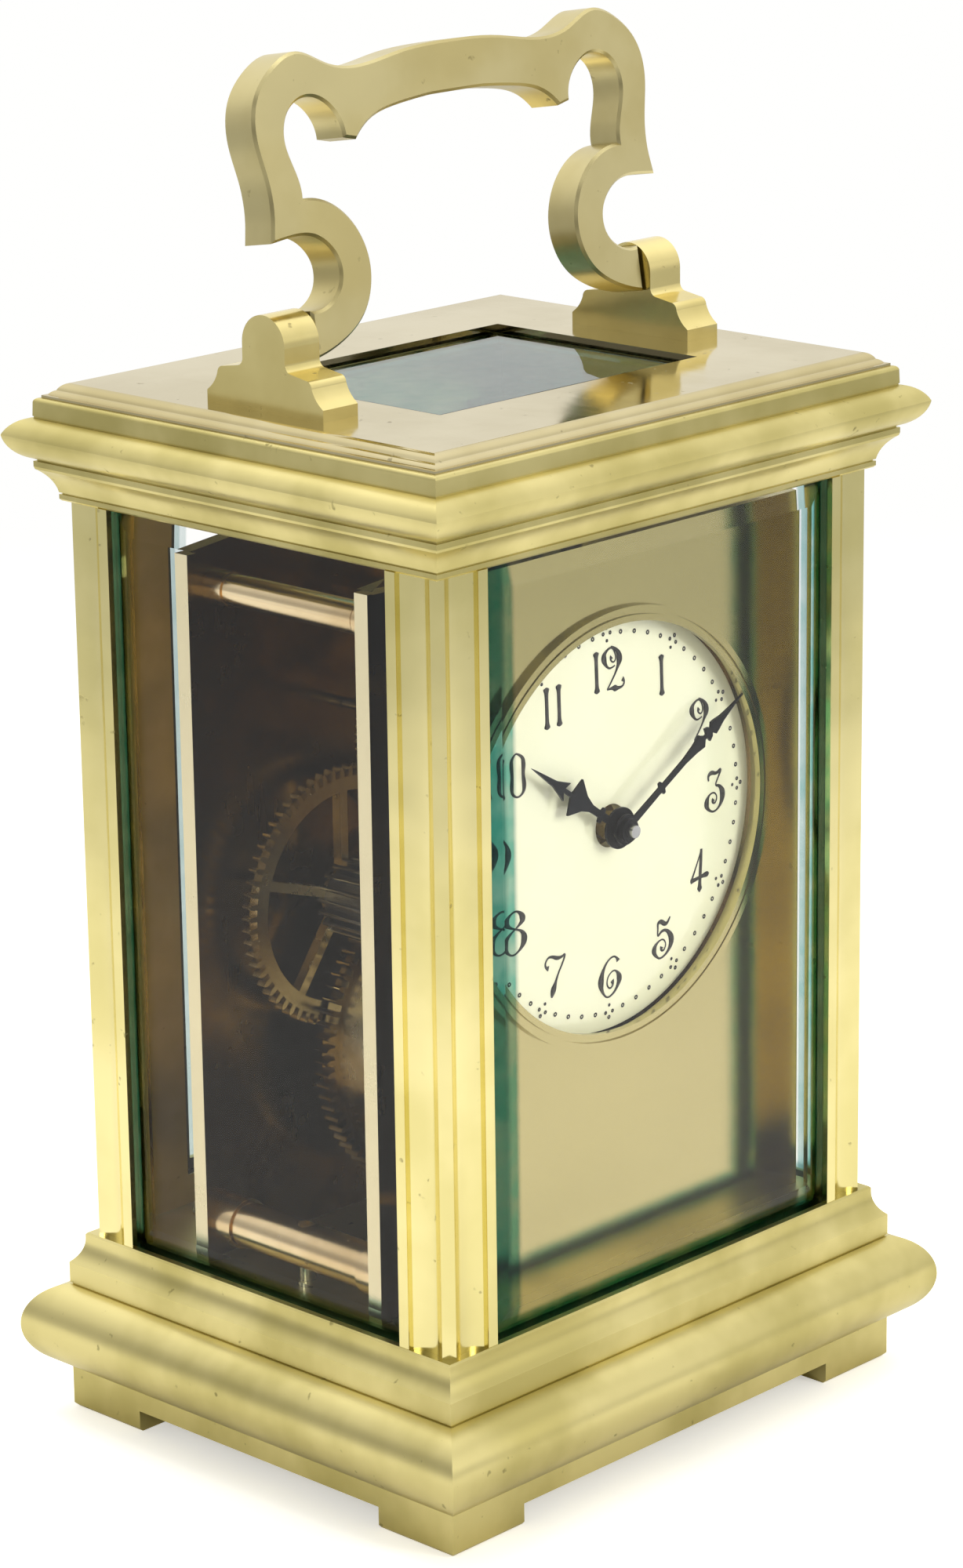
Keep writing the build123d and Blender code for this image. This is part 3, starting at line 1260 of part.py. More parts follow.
# Bezel: thin brass ring with a groove round the dial
with BuildPart() as dial_bezel:
    turned(0, centre_z, [(mask_front_y, mask_front_y - bezel_height, bezel_outer_radius)])
    drill(0, centre_z, mask_front_y + 1, mask_front_y - 2, bezel_inner_radius)
    groove_y = mask_front_y - bezel_height
    with BuildSketch(facing(0, groove_y + 0.25, centre_z)):
        Circle(bezel_outer_radius - 0.75)
        Circle(bezel_outer_radius - 1.0, mode=Mode.SUBTRACT)
    extrude(amount=1, mode=Mode.SUBTRACT)
dial_bezel.part.label = "dial_bezel"
export_step(dial_bezel.part, "parts/dial_bezel.step")


# Hands: blued steel, cut from sheet, with barbed points
def hand_plane(angle, rear_y):
    """Plane whose x axis points along a hand set clockwise from twelve."""
    turn = radians(angle)
    return Plane(origin=(0, rear_y, centre_z), x_dir=(sin(turn), 0, cos(turn)), z_dir=(0, -1, 0))


with BuildPart() as hour_hand:
    with BuildSketch(hand_plane(hour_hand_angle, hour_hand_front_y + hand_thickness)):
        Circle(2.3)
        with BuildLine():
            Polyline(
                (1.5, -0.45), (3.3, -0.4), (3.45, -0.85), (3.8, -0.85), (3.95, -0.4), (5.6, -0.42), (7.0, -0.9),
                (8.7, -2.15), (9.35, -0.25), (10.75, -0.25), (10.3, -1.05), (12.4, -0.4), (15.4, -0.14),
                (hour_hand_length, 0),
                (15.4, 0.14), (12.4, 0.4), (10.3, 1.05), (10.75, 0.25), (9.35, 0.25), (8.7, 2.15),
                (7.0, 0.9), (5.6, 0.42), (3.95, 0.4), (3.8, 0.85), (3.45, 0.85), (3.3, 0.4), (1.5, 0.45),
                (1.5, -0.45),
            )
        make_face()
        Circle(hour_pipe_bore + hour_pipe_wall * 0.2, mode=Mode.SUBTRACT)
    extrude(amount=hand_thickness)
hour_hand.part.label = "hour_hand"
export_step(hour_hand.part, "parts/hour_hand.step")

with BuildPart() as minute_hand:
    with BuildSketch(hand_plane(minute_hand_angle, minute_hand_front_y + hand_thickness)):
        Circle(1.7)
        with BuildLine():
            Polyline(
                (1.3, -0.4), (6.35, -0.34), (6.5, -0.75), (6.85, -0.75), (7.0, -0.3), (11.0, -0.33), (12.9, -0.55),
                (14.3, -0.85), (14.8, -0.2), (15.2, -0.2), (15.3, -0.9), (15.9, -0.65), (16.1, -0.3), (16.5, -0.85),
                (17.2, -0.7), (18.1, -0.42), (19.9, -0.18),
                (minute_hand_length, 0),
                (19.9, 0.18), (18.1, 0.42), (17.2, 0.7), (16.5, 0.85), (16.1, 0.3), (15.9, 0.65), (15.3, 0.9),
                (15.2, 0.2), (14.8, 0.2), (14.3, 0.85), (12.9, 0.55), (11.0, 0.33), (7.0, 0.3), (6.85, 0.75),
                (6.5, 0.75), (6.35, 0.34), (1.3, 0.4), (1.3, -0.4),
            )
        make_face()
        Circle(cannon_bore_radius, mode=Mode.SUBTRACT)
    extrude(amount=hand_thickness)
    turned(0, centre_z, [(minute_hand_front_y, minute_hand_front_y - 0.5, 1.3)])
    drill(0, centre_z, minute_hand_front_y + 1, arbor_tip_y - 1, cannon_bore_radius)
minute_hand.part.label = "minute_hand"
export_step(minute_hand.part, "parts/minute_hand.step")

# Platform: plate across the tops of both movement plates, with the escape pinion's lower bearing
potence_width = 1.2
potence_y = escape_y - 3.1
potence_low = contrate_z + 4.0
platform_small_hole = 0.15 + pivot_clearance
cock_foot_rear_y = balance_y - balance_radius - 0.4
cock_foot_y = front_plate_outer_y + 0.1
bridge_screw_x = 5.0
cock_screw_y = (cock_foot_rear_y + cock_foot_y) / 2
with BuildPart() as platform:
    platform_low_corner = (-platform_half_x, front_plate_outer_y, plate_top)
    platform_high_corner = (platform_half_x, back_plate_outer_y, platform_top)
    block_between(platform_low_corner, platform_high_corner)
    block_between((-potence_width, potence_y, potence_low), (potence_width, potence_y + 1.3, plate_top))
    block_between((-potence_width, potence_y, potence_low), (potence_width, escape_y + 0.7, potence_low + 1.0))
    drill_up(0, escape_y, plate_top - 1, platform_top + 1, 1.5)
    drill_up(0, escape_y, potence_low - 1, potence_low + 2, platform_small_hole)
    drill_up(0, 0, platform_top - 0.8, platform_top + 1, platform_small_hole)
    drill_up(0, balance_y, platform_top - 0.8, platform_top + 1, platform_small_hole)
    for x, name, y in platform_screws:
        drill_up(x, y, plate_top - 1, platform_top + 1, small_screw_radius + screw_hole_clearance)
platform.part.label = "platform"
export_step(platform.part, "parts/platform.step")

# Escape wheel: fifteen pointed teeth on an upright arbor with its pinion below the platform
escape_wheel_low = platform_top + escape_wheel_rise
bridge_low = platform_top + 2.1
bridge_thickness = 0.8
with BuildPart() as escape_wheel:
    turned_up(0, escape_y, [(potence_low + 1.0 + 0.1, bridge_low - 0.1, 0.35)])
    turned_up(0, escape_y, [(potence_low + 0.3, bridge_low + bridge_thickness, 0.15)])
    with BuildSketch(Plane((0, escape_y, contrate_z + contrate_radius - 1.4))):
        toothed_disc(escape_leaves, contrate_module, False, 90 + 180 / escape_leaves)
    extrude(amount=2.6)
    with BuildSketch(Plane((0, escape_y, escape_wheel_low))):
        with BuildLine():
            for index in range(escape_tooth_count):
                tip_angle = radians(-90) + index * 2 * pi / escape_tooth_count
                step_angle = 2 * pi / escape_tooth_count
                tip = polar(escape_radius, tip_angle)
                heel = polar(escape_radius, tip_angle + 0.06 * step_angle)
                root = polar(escape_root_radius, tip_angle + 0.45 * step_angle)
                next_root = polar(escape_root_radius, tip_angle + 0.8 * step_angle)
                Line(polar(escape_root_radius, tip_angle - 0.2 * step_angle), tip)
                Line(tip, heel)
                Line(heel, root)
                Line(root, next_root)
        make_face()
        Circle(escape_root_radius - 0.6, mode=Mode.SUBTRACT)
        Circle(0.8)
        with PolarLocations(0, 4):
            Rectangle(escape_root_radius - 0.4, 0.35, align=(Align.MIN, Align.CENTER))
    extrude(amount=escape_wheel_thickness)
escape_wheel.part.label = "escape_wheel"
export_step(escape_wheel.part, "parts/escape_wheel.step")

# Lever with two pallets and a fork towards the balance
lever_low = escape_wheel_low - 0.05
lever_thickness = 0.6
pallet_turn = radians(pallet_angle)
pallet_radius = escape_radius + 0.06
pallet_length = 0.7
pallet_x = pallet_radius * sin(pallet_turn)
pallet_y = escape_y - pallet_radius * cos(pallet_turn)
with BuildPart() as lever:
    with BuildSketch(Plane.XY.offset(lever_low)):
        Circle(0.35)
        for side in (-1, 1):
            with BuildLine():
                inner = (side * pallet_x, pallet_y)
                outer_x = side * (pallet_x + pallet_length * sin(pallet_turn))
                outer = (outer_x, pallet_y - pallet_length * cos(pallet_turn))
                across_x = 0.17 * cos(pallet_turn)
                across_y = side * 0.17 * sin(pallet_turn)
                Polyline(
                    (inner[0] - across_x, inner[1] - across_y),
                    (inner[0] + across_x, inner[1] + across_y),
                    (outer[0] + across_x, outer[1] + across_y),
                    (outer[0] - across_x, outer[1] - across_y),
                    (inner[0] - across_x, inner[1] - across_y),
                )
            make_face()
            with BuildLine():
                Polyline((0, -0.5), (outer[0], outer[1] - 0.35), (outer[0], outer[1] + 0.2), (0, 0.3), (0, -0.5))
            make_face()
        with Locations((0, (balance_y + 1.2) / 2)):
            Rectangle(0.45, -(balance_y + 1.2))
        with Locations((0, balance_y + 1.2)):
            Rectangle(1.1, 0.8)
            Rectangle(0.34, 0.85, align=(Align.CENTER, Align.MAX), mode=Mode.SUBTRACT)
    extrude(amount=lever_thickness)
    turned_up(0, 0, [(platform_top + 0.1, bridge_low - 0.1, 0.3)])
    turned_up(0, 0, [(platform_top - 0.6, bridge_low + bridge_thickness, 0.15)])
lever.part.label = "lever"
export_step(lever.part, "parts/lever.step")

# Bridge over the escape wheel and the lever
with BuildPart() as lever_bridge:
    bridge_corner_low = (-bridge_screw_x - 1.4, -0.65, bridge_low)
    bridge_corner_high = (bridge_screw_x + 1.4, escape_y + 1.2, bridge_low + bridge_thickness)
    block_between(bridge_corner_low, bridge_corner_high)
    for side in (-1, 1):
        foot_inner = side * (bridge_screw_x - 1.0)
        foot_outer = side * (bridge_screw_x + 1.4)
        foot_low = (min(foot_inner, foot_outer), -0.65, platform_top)
        foot_high = (max(foot_inner, foot_outer), escape_y + 1.2, bridge_low)
        block_between(foot_low, foot_high)
        drill_up(side * bridge_screw_x, 2.2, platform_top - 1, bridge_low + 2, small_screw_radius + screw_hole_clearance)
    drill_up(0, 0, bridge_low - 1, bridge_low + 2, platform_small_hole)
    drill_up(0, escape_y, bridge_low - 1, bridge_low + 2, platform_small_hole)
lever_bridge.part.label = "lever_bridge"
export_step(lever_bridge.part, "parts/lever_bridge.step")

# Balance: two-armed rim with timing screws, roller and impulse pin on one staff
rim_low = platform_top + balance_rise
cock_low = platform_top + cock_rise
roller_low = lever_low + lever_thickness + 0.15
with BuildPart() as balance:
    with BuildSketch(Plane.XY.offset(rim_low)):
        with Locations((0, balance_y)):
            Circle(balance_radius)
            Circle(balance_radius - balance_rim_width, mode=Mode.SUBTRACT)
            Rectangle(2 * balance_radius - balance_rim_width, 0.9)
            Circle(1.0)
    extrude(amount=balance_rim_height)
    for angle in range(0, 360, 45):
        screw_direction = Vector(cos(radians(angle)), sin(radians(angle)), 0)
        screw_start = Vector(0, balance_y, rim_low + balance_rim_height / 2) + screw_direction * (balance_radius - 0.2)
        with BuildSketch(Plane(origin=screw_start, z_dir=screw_direction)):
            Circle(0.3)
        extrude(amount=0.5)
    turned_up(0, balance_y, [(platform_top + 0.1, cock_low - 0.1, 0.3)])
    turned_up(0, balance_y, [(platform_top - 0.6, cock_low + cock_thickness - 0.2, 0.15)])
    turned_up(0, balance_y, [(roller_low, roller_low + 0.4, 1.3)])
    turned_up(0, balance_y + 1.0, [(roller_low - 0.1, roller_low, 0.14)])
balance.part.label = "balance"
export_step(balance.part, "parts/balance.step")

# Hairspring: flat steel spiral above the balance, its outer end held by the cock's stud
hairspring_growth = hairspring_pitch / 2
hairspring_half_turns = 2 * hairspring_turns
hairspring_low = rim_low + balance_rim_height + 0.15
with BuildPart() as hairspring:
    with BuildSketch(Plane((0, balance_y, hairspring_low))):
        spiral_band(hairspring_start_radius, hairspring_growth, hairspring_half_turns, hairspring_thickness)
    extrude(amount=hairspring_height)
hairspring.part.label = "hairspring"
export_step(hairspring.part, "parts/hairspring.step")
hairspring_gap = least_coil_gap(hairspring_start_radius, hairspring_growth, hairspring_half_turns, hairspring_thickness)
print(f"hairspring: least gap between turns {hairspring_gap:.2f} mm")

# Balance cock: one arm from a foot at the front, with the upper bearing and the hairspring stud
hairspring_end_radius = hairspring_start_radius + hairspring_half_turns * hairspring_growth
with BuildPart() as balance_cock:
    with BuildSketch(Plane.XY.offset(cock_low)):
        arm_length = balance_y - cock_foot_y
        with Locations((0, cock_foot_y + arm_length / 2)):
            Rectangle(3.4, arm_length)
        with Locations((0, balance_y)):
            Circle(2.6)
            Rectangle(2 * hairspring_end_radius + 1.6, 1.2, align=(Align.CENTER, Align.CENTER))
    extrude(amount=cock_thickness)
    block_between((-1.7, cock_foot_y, platform_top), (1.7, cock_foot_rear_y, cock_low))
    drill_up(0, balance_y, cock_low - 1, cock_low + 2, platform_small_hole)
    stud_x = hairspring_end_radius + 0.35
    turned_up(stud_x, balance_y, [(hairspring_low, cock_low, 0.3)])
    drill_up(0, cock_screw_y, platform_top - 1, cock_low + 2, small_screw_radius + screw_hole_clearance)
balance_cock.part.label = "balance_cock"
export_step(balance_cock.part, "parts/balance_cock.step")

# Small screws of the movement: platform, cock, bridge, click and click spring
with BuildPart() as movement_screws:
    for x, name, y in platform_screws:
        screw_up(x, y, platform_top, plate_top - 3.8, shank_radius=small_screw_radius, head_radius=small_screw_head)
    screw_up(0, cock_screw_y, cock_low + cock_thickness, platform_top, shank_radius=small_screw_radius, head_radius=small_screw_head)
    for side in (-1, 1):
        screw_up(side * bridge_screw_x, 2.2, bridge_low + bridge_thickness, platform_top, shank_radius=small_screw_radius, head_radius=small_screw_head)
    for x, z, seat_y in ((click_x, click_z, ratchet_rear_y + 0.1), (spring_foot_x, spring_foot_z, ratchet_rear_y)):
        turned(x, z, [(seat_y, back_plate_inner_y, small_screw_radius), (seat_y + 0.7, seat_y, small_screw_head)])
movement_screws.part.label = "movement_screws"
export_step(movement_screws.part, "parts/movement_screws.step")

print(f"height with the handle up {handle.part.bounding_box().max.Z:.1f} mm")
print(f"width {2 * (plinth_half_x + bulge_radius - bulge_inset):.1f} mm, depth {2 * (plinth_half_y + bulge_radius - bulge_inset):.1f} mm")
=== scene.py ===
# Brass carriage clock with bevelled glass panels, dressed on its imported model, in metres.
import math

import bpy
from mathutils import Matrix, Vector


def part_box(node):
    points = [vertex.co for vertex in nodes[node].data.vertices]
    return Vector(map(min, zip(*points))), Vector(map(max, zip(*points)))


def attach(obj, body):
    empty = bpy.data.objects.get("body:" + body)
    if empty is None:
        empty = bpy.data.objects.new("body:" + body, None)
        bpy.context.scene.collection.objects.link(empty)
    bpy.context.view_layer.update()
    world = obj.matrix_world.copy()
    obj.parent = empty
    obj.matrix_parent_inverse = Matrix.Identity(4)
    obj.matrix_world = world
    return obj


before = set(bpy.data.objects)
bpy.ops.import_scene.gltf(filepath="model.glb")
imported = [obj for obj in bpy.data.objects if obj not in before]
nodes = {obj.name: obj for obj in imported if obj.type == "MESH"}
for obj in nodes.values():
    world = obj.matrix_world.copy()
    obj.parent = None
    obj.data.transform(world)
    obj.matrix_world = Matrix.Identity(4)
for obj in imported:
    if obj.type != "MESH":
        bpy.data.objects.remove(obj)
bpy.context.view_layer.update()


# Camera: stands off the corner between the dial side and the left side, looking a little down.
# The lens is a long one, so the clock's upright edges stay nearly parallel.
turn = math.radians(-46.243)
rise = math.radians(16.278)
tilt = math.radians(-0.795)
level_back = Vector((math.sin(turn), -math.cos(turn), 0))
towards_camera = math.cos(rise) * level_back + math.sin(rise) * Vector((0, 0, 1))
level_right = Vector((math.cos(turn), math.sin(turn), 0))
level_up = towards_camera.cross(level_right)
right = math.cos(tilt) * level_right + math.sin(tilt) * level_up
up = math.cos(tilt) * level_up - math.sin(tilt) * level_right
standpoint = Vector((-0.363877, -0.349254, 0.218497))
bpy.ops.object.camera_add(location=standpoint)
camera = bpy.context.object
camera.matrix_world = Matrix((
    (right.x, up.x, towards_camera.x, standpoint.x),
    (right.y, up.y, towards_camera.y, standpoint.y),
    (right.z, up.z, towards_camera.z, standpoint.z),
    (0, 0, 0, 1),
))
camera.data.sensor_width = 36  # millimetres, as is the lens
camera.data.lens = 109.17
camera.data.clip_start = 0.01
camera.data.clip_end = 20
bpy.context.scene.camera = camera
bpy.context.scene.view_settings.view_transform = "Standard"


# Shader sums: a socket with arithmetic on it, used by every finish below.
class Value:
    """A socket in a finish. Arithmetic on it adds Math nodes, and node() adds any other node."""

    def __init__(self, tree, socket=None):
        self.tree = tree
        self.socket = socket

    def node(self, kind, settings=None, values=None, output=0):
        new = self.tree.nodes.new(kind)
        for name, setting in (settings or {}).items():
            setattr(new, name, setting)
        for name, value in (values or {}).items():
            if isinstance(value, Value):
                self.tree.links.new(value.socket, new.inputs[name])
            else:
                new.inputs[name].default_value = value
        if new.outputs:
            return Value(self.tree, new.outputs[output])

    def sum(self, operation, *values):
        return self.node("ShaderNodeMath", {"operation": operation}, dict(enumerate(values)))

    def __add__(self, other):
        return self.sum("ADD", self, other)

    def __sub__(self, other):
        return self.sum("SUBTRACT", self, other)

    def __rsub__(self, other):
        return self.sum("SUBTRACT", other, self)

    def __mul__(self, other):
        return self.sum("MULTIPLY", self, other)

    __radd__ = __add__
    __rmul__ = __mul__

    def between(self, low, high):
        """0 below low, 1 above high, smooth from one to the other."""
        return self.node(
            "ShaderNodeMapRange", {"interpolation_type": "SMOOTHSTEP"}, {0: self, 1: low, 2: high}
        )

    def tint(self, first, second):
        """The first colour where this is 0 and the second where it is 1."""
        colours = {6: first, 7: second}  # the Mix node's places for two colours
        colours = {place: c if isinstance(c, Value) else (*c, 1) for place, c in colours.items()}
        return self.node("ShaderNodeMix", {"data_type": "RGBA"}, {0: self, **colours}, 2)


# World and floor: a pale room, darker and cluttered on the side of the camera. The clock stands on a
# plain pale table top that runs out to white, and whatever looks straight at the room sees white too.
world = bpy.data.worlds.new("pale_room")
bpy.context.scene.world = world
world.use_nodes = True
world.node_tree.nodes.clear()
room = Value(world.node_tree)
looking = room.node("ShaderNodeTexCoord", output="Generated")
height = room.node("ShaderNodeSeparateXYZ", values={0: looking}, output="Z")
clutter = room.node(
    "ShaderNodeTexNoise", values={"Vector": looking, "Scale": 2.2, "Detail": 3.0, "Roughness": 0.5}
)
dark_wall = (-0.72, -0.69, 0.0)
this_side = room.node(
    "ShaderNodeVectorMath", {"operation": "DOT_PRODUCT"}, {0: looking, 1: dark_wall}, "Value"
).between(-0.35, 0.35)
far_light = (1 - this_side) * 0.95
near_light = this_side * clutter.between(0.46, 0.60) * 0.55
wall_light = far_light + near_light + height.between(0.35, 0.95) * 0.35 + 0.04
glossy_bounces = room.node("ShaderNodeLightPath", output="Glossy Depth")
bounces = glossy_bounces + room.node("ShaderNodeLightPath", output="Diffuse Depth")
straight = 1 - bounces.sum("MINIMUM", bounces, 1.0)
seen = straight * room.node("ShaderNodeLightPath", output="Is Transmission Ray")
seen = seen.sum("MAXIMUM", seen, room.node("ShaderNodeLightPath", output="Is Camera Ray"))
strength = seen + (1 - seen) * wall_light
glow = room.node("ShaderNodeBackground", values={"Color": (1.0, 0.985, 0.955, 1), "Strength": strength})
room.node("ShaderNodeOutputWorld", values={"Surface": glow})

bpy.ops.object.select_all(action="DESELECT")
bpy.ops.mesh.primitive_circle_add(vertices=96, radius=3.0, fill_type="NGON", location=(0, 0, 0))
floor = bpy.context.object
floor.name = "table_top"
table_finish = bpy.data.materials.new("white_table")
table_finish.use_nodes = True
table_finish.node_tree.nodes.clear()
table = Value(table_finish.node_tree)
place = table.node("ShaderNodeTexCoord", output="Object")
distance = table.node("ShaderNodeVectorMath", {"operation": "LENGTH"}, {0: place}, "Value")
far = distance.between(0.10, 0.45)
camera_ray = table.node("ShaderNodeLightPath", output="Is Camera Ray")
paper = table.node("ShaderNodeBsdfDiffuse", values={"Color": (0.93, 0.925, 0.90, 1)})
lift = table.node(
    "ShaderNodeEmission", values={"Color": (1, 0.995, 0.975, 1), "Strength": camera_ray * 0.45}
)
lit_paper = table.node("ShaderNodeAddShader", values={0: paper, 1: lift})
clear_ray = table.node("ShaderNodeLightPath", output="Is Transmission Ray")
shown = camera_ray.sum("MAXIMUM", camera_ray, clear_ray)
blank = table.node(
    "ShaderNodeEmission", values={"Color": (1, 1, 0.99, 1), "Strength": shown * 0.45 + 0.55}
)
top = table.node("ShaderNodeMixShader", values={0: far, 1: lit_paper, 2: blank})
table.node("ShaderNodeOutputMaterial", values={"Surface": top})
floor.data.materials.append(table_finish)


# Lights: three soft boxes with white cloth fronts, each on a stand and turned towards the clock.
# A tall one stands beside the left side, one beyond the dial side and one hangs overhead.
def soft_box(name, spot, aim, width, length, power):
    bpy.ops.object.light_add(type="AREA", location=spot)
    lamp = bpy.context.object
    lamp.name = name
    lamp.data.shape = "RECTANGLE"
    lamp.data.size = width
    lamp.data.size_y = length
    lamp.data.energy = power
    lamp.data.color = (1.0, 0.985, 0.96)
    facing = (Vector(aim) - Vector(spot)).to_track_quat("-Z", "Y")
    lamp.matrix_world = Matrix.Translation(spot) @ facing.to_matrix().to_4x4()


soft_box("left_box", (-0.95, -0.10, 0.42), (0, 0, 0.07), 0.22, 0.7, 2.2)
soft_box("front_box", (0.35, -1.05, 0.50), (0, 0, 0.07), 0.30, 0.6, 4.4)
soft_box("top_box", (0.05, 0.25, 1.10), (0, 0, 0.10), 0.6, 0.6, 4.0)


# Case: cast brass, filed, polished and lacquered long ago. The polish has a wavy lie from the buffing
# wheel and the metal has gone faintly olive in places.
def brass(name, bright, dull, roughness, waviness, grain_along):
    finish = bpy.data.materials.new(name)
    finish.use_nodes = True
    finish.node_tree.nodes.clear()
    metal = Value(finish.node_tree)
    spot = metal.node("ShaderNodeTexCoord", output="Object")
    drawn = metal.node("ShaderNodeMapping", values={"Vector": spot, "Scale": grain_along})
    cloud = metal.node("ShaderNodeTexNoise", values={"Vector": spot, "Scale": 55.0, "Detail": 4.0})
    grain = metal.node("ShaderNodeTexNoise", values={"Vector": drawn, "Scale": 900.0, "Detail": 3.0})
    specks = metal.node("ShaderNodeTexNoise", values={"Vector": spot, "Scale": 700.0, "Detail": 2.0})
    pits = specks.between(0.70, 0.78)
    tarnish = cloud.between(0.38, 0.66)
    colour = tarnish.tint(bright, dull)
    colour = (pits * 0.55).tint(colour, tuple(0.35 * c for c in dull))
    rough = roughness + tarnish * 0.06 + grain * 0.06 + pits * 0.2
    wave = metal.node("ShaderNodeTexNoise", values={"Vector": spot, "Scale": 70.0, "Detail": 1.5})
    lie = metal.node("ShaderNodeBump", values={"Height": wave, "Strength": waviness, "Distance": 0.0006})
    scratched = metal.node(
        "ShaderNodeBump",
        values={"Height": grain - pits, "Strength": 0.12, "Distance": 0.00004, "Normal": lie},
    )
    surface = metal.node(
        "ShaderNodeBsdfPrincipled",
        values={"Base Color": colour, "Metallic": 1.0, "Roughness": rough, "Normal": scratched},
    )
    metal.node("ShaderNodeOutputMaterial", values={"Surface": surface})
    return finish


case_brass = brass("case_brass", (0.74, 0.65, 0.29), (0.53, 0.46, 0.17), 0.27, 0.30, (0.05, 0.05, 1.0))
for name in ("base", "cornice", "door_frame", "door_knob"):
    nodes[name].data.materials.clear()
    nodes[name].data.materials.append(case_brass)


# Posts: the same brass drawn to a ribbed section and polished brightest of all. Screws from the base
# and from the cornice hold them. The grain of the polish runs up and down.
post_brass = brass("post_brass", (0.92, 0.82, 0.40), (0.80, 0.71, 0.31), 0.08, 0.35, (1.0, 1.0, 0.04))
for name in ("post_front_left", "post_front_right", "post_rear_left", "post_rear_right"):
    nodes[name].data.materials.clear()
    nodes[name].data.materials.append(post_brass)


# Handle blocks: sawn and filed to a stepped outline, then polished brighter than the mouldings.
# Two screws from below hold each one on the top plate.
block_brass = brass("block_brass", (0.92, 0.79, 0.36), (0.76, 0.64, 0.26), 0.16, 0.35, (1.0, 1.0, 1.0))
for name in ("left_block", "right_block"):
    nodes[name].data.materials.clear()
    nodes[name].data.materials.append(block_brass)


# Top plate: brass sheet polished to a mirror, a little duller where the lacquer has aged. It is cut
# out for the top glass, and the handle's blocks stand on it.
top_brass = brass("top_brass", (0.64, 0.56, 0.33), (0.55, 0.47, 0.25), 0.05, 0.10, (1.0, 0.2, 1.0))
nodes["top_plate"].data.materials.clear()
nodes["top_plate"].data.materials.append(top_brass)


# Handle: sawn from thick brass plate and finished satin, paler than the case. It turns on a pin in
# each block.
handle_brass = brass("handle_brass", (0.66, 0.58, 0.30), (0.54, 0.46, 0.21), 0.27, 0.22, (0.3, 1.0, 0.3))
nodes["handle"].data.materials.clear()
nodes["handle"].data.materials.append(handle_brass)


# Glass: old plate glass, ground to a wide bevel and polished. The ground edges are deep green, because
# they are looked through lengthways, and the panes sit in grooves of the posts and the base. The
# upright panes bend and mirror less than real ones, so that what stands behind them isn't veiled.
def plate_glass(name, bending, near_band, far_band, low_band, depth):
    low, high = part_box(name)
    along = 0 if high[0] - low[0] > high[1] - low[1] else 1  # the axis of the pane's breadth
    finish = bpy.data.materials.new(name + "_finish")
    finish.use_nodes = True
    finish.node_tree.nodes.clear()
    pane = Value(finish.node_tree)
    spot = pane.node("ShaderNodeTexCoord", output="Object")
    across = pane.node("ShaderNodeSeparateXYZ", values={0: spot}, output=along)
    upward = pane.node("ShaderNodeSeparateXYZ", values={0: spot}, output="Z")
    near_side = 1 - across.between(low[along] + near_band * 0.85, low[along] + near_band)
    far_side = across.between(high[along] - far_band, high[along] - far_band * 0.6)
    side = near_side.sum("MAXIMUM", near_side, far_side)
    foot = 1 - upward.between(low[2] + low_band * 0.7, low[2] + low_band)
    edge = side.sum("MAXIMUM", side, foot)
    chips = pane.node("ShaderNodeTexNoise", values={"Vector": spot, "Scale": 260.0, "Detail": 2.0})
    green_edge = (edge * depth * (chips * 0.5 + 0.75)).tint((1.0, 1.0, 1.0), (0.03, 0.21, 0.20))
    clear = pane.node(
        "ShaderNodeBsdfPrincipled",
        values={
            "Base Color": green_edge, "Roughness": 0.0, "IOR": bending, "Transmission Weight": 1.0,
        },
    )
    see_through = pane.node("ShaderNodeBsdfTransparent", values={"Color": (0.97, 0.99, 0.98, 1)})
    shade_ray = pane.node("ShaderNodeLightPath", output="Is Shadow Ray")
    plate = pane.node("ShaderNodeMixShader", values={0: shade_ray, 1: clear, 2: see_through})
    pane.node("ShaderNodeOutputMaterial", values={"Surface": plate})
    nodes[name].data.materials.clear()
    nodes[name].data.materials.append(finish)


plate_glass("front_glass", bending=1.25, near_band=0.0060, far_band=0.0036, low_band=0.0026, depth=0.97)
plate_glass("left_glass", bending=1.22, near_band=0.0022, far_band=0.0030, low_band=0.0024, depth=0.85)
plate_glass("right_glass", bending=1.25, near_band=0.0030, far_band=0.0022, low_band=0.0024, depth=0.85)
plate_glass("door_glass", bending=1.25, near_band=0.0022, far_band=0.0022, low_band=0.0020, depth=0.6)
plate_glass("top_glass", bending=1.56, near_band=0.0016, far_band=0.0010, low_band=0.0, depth=0.9)
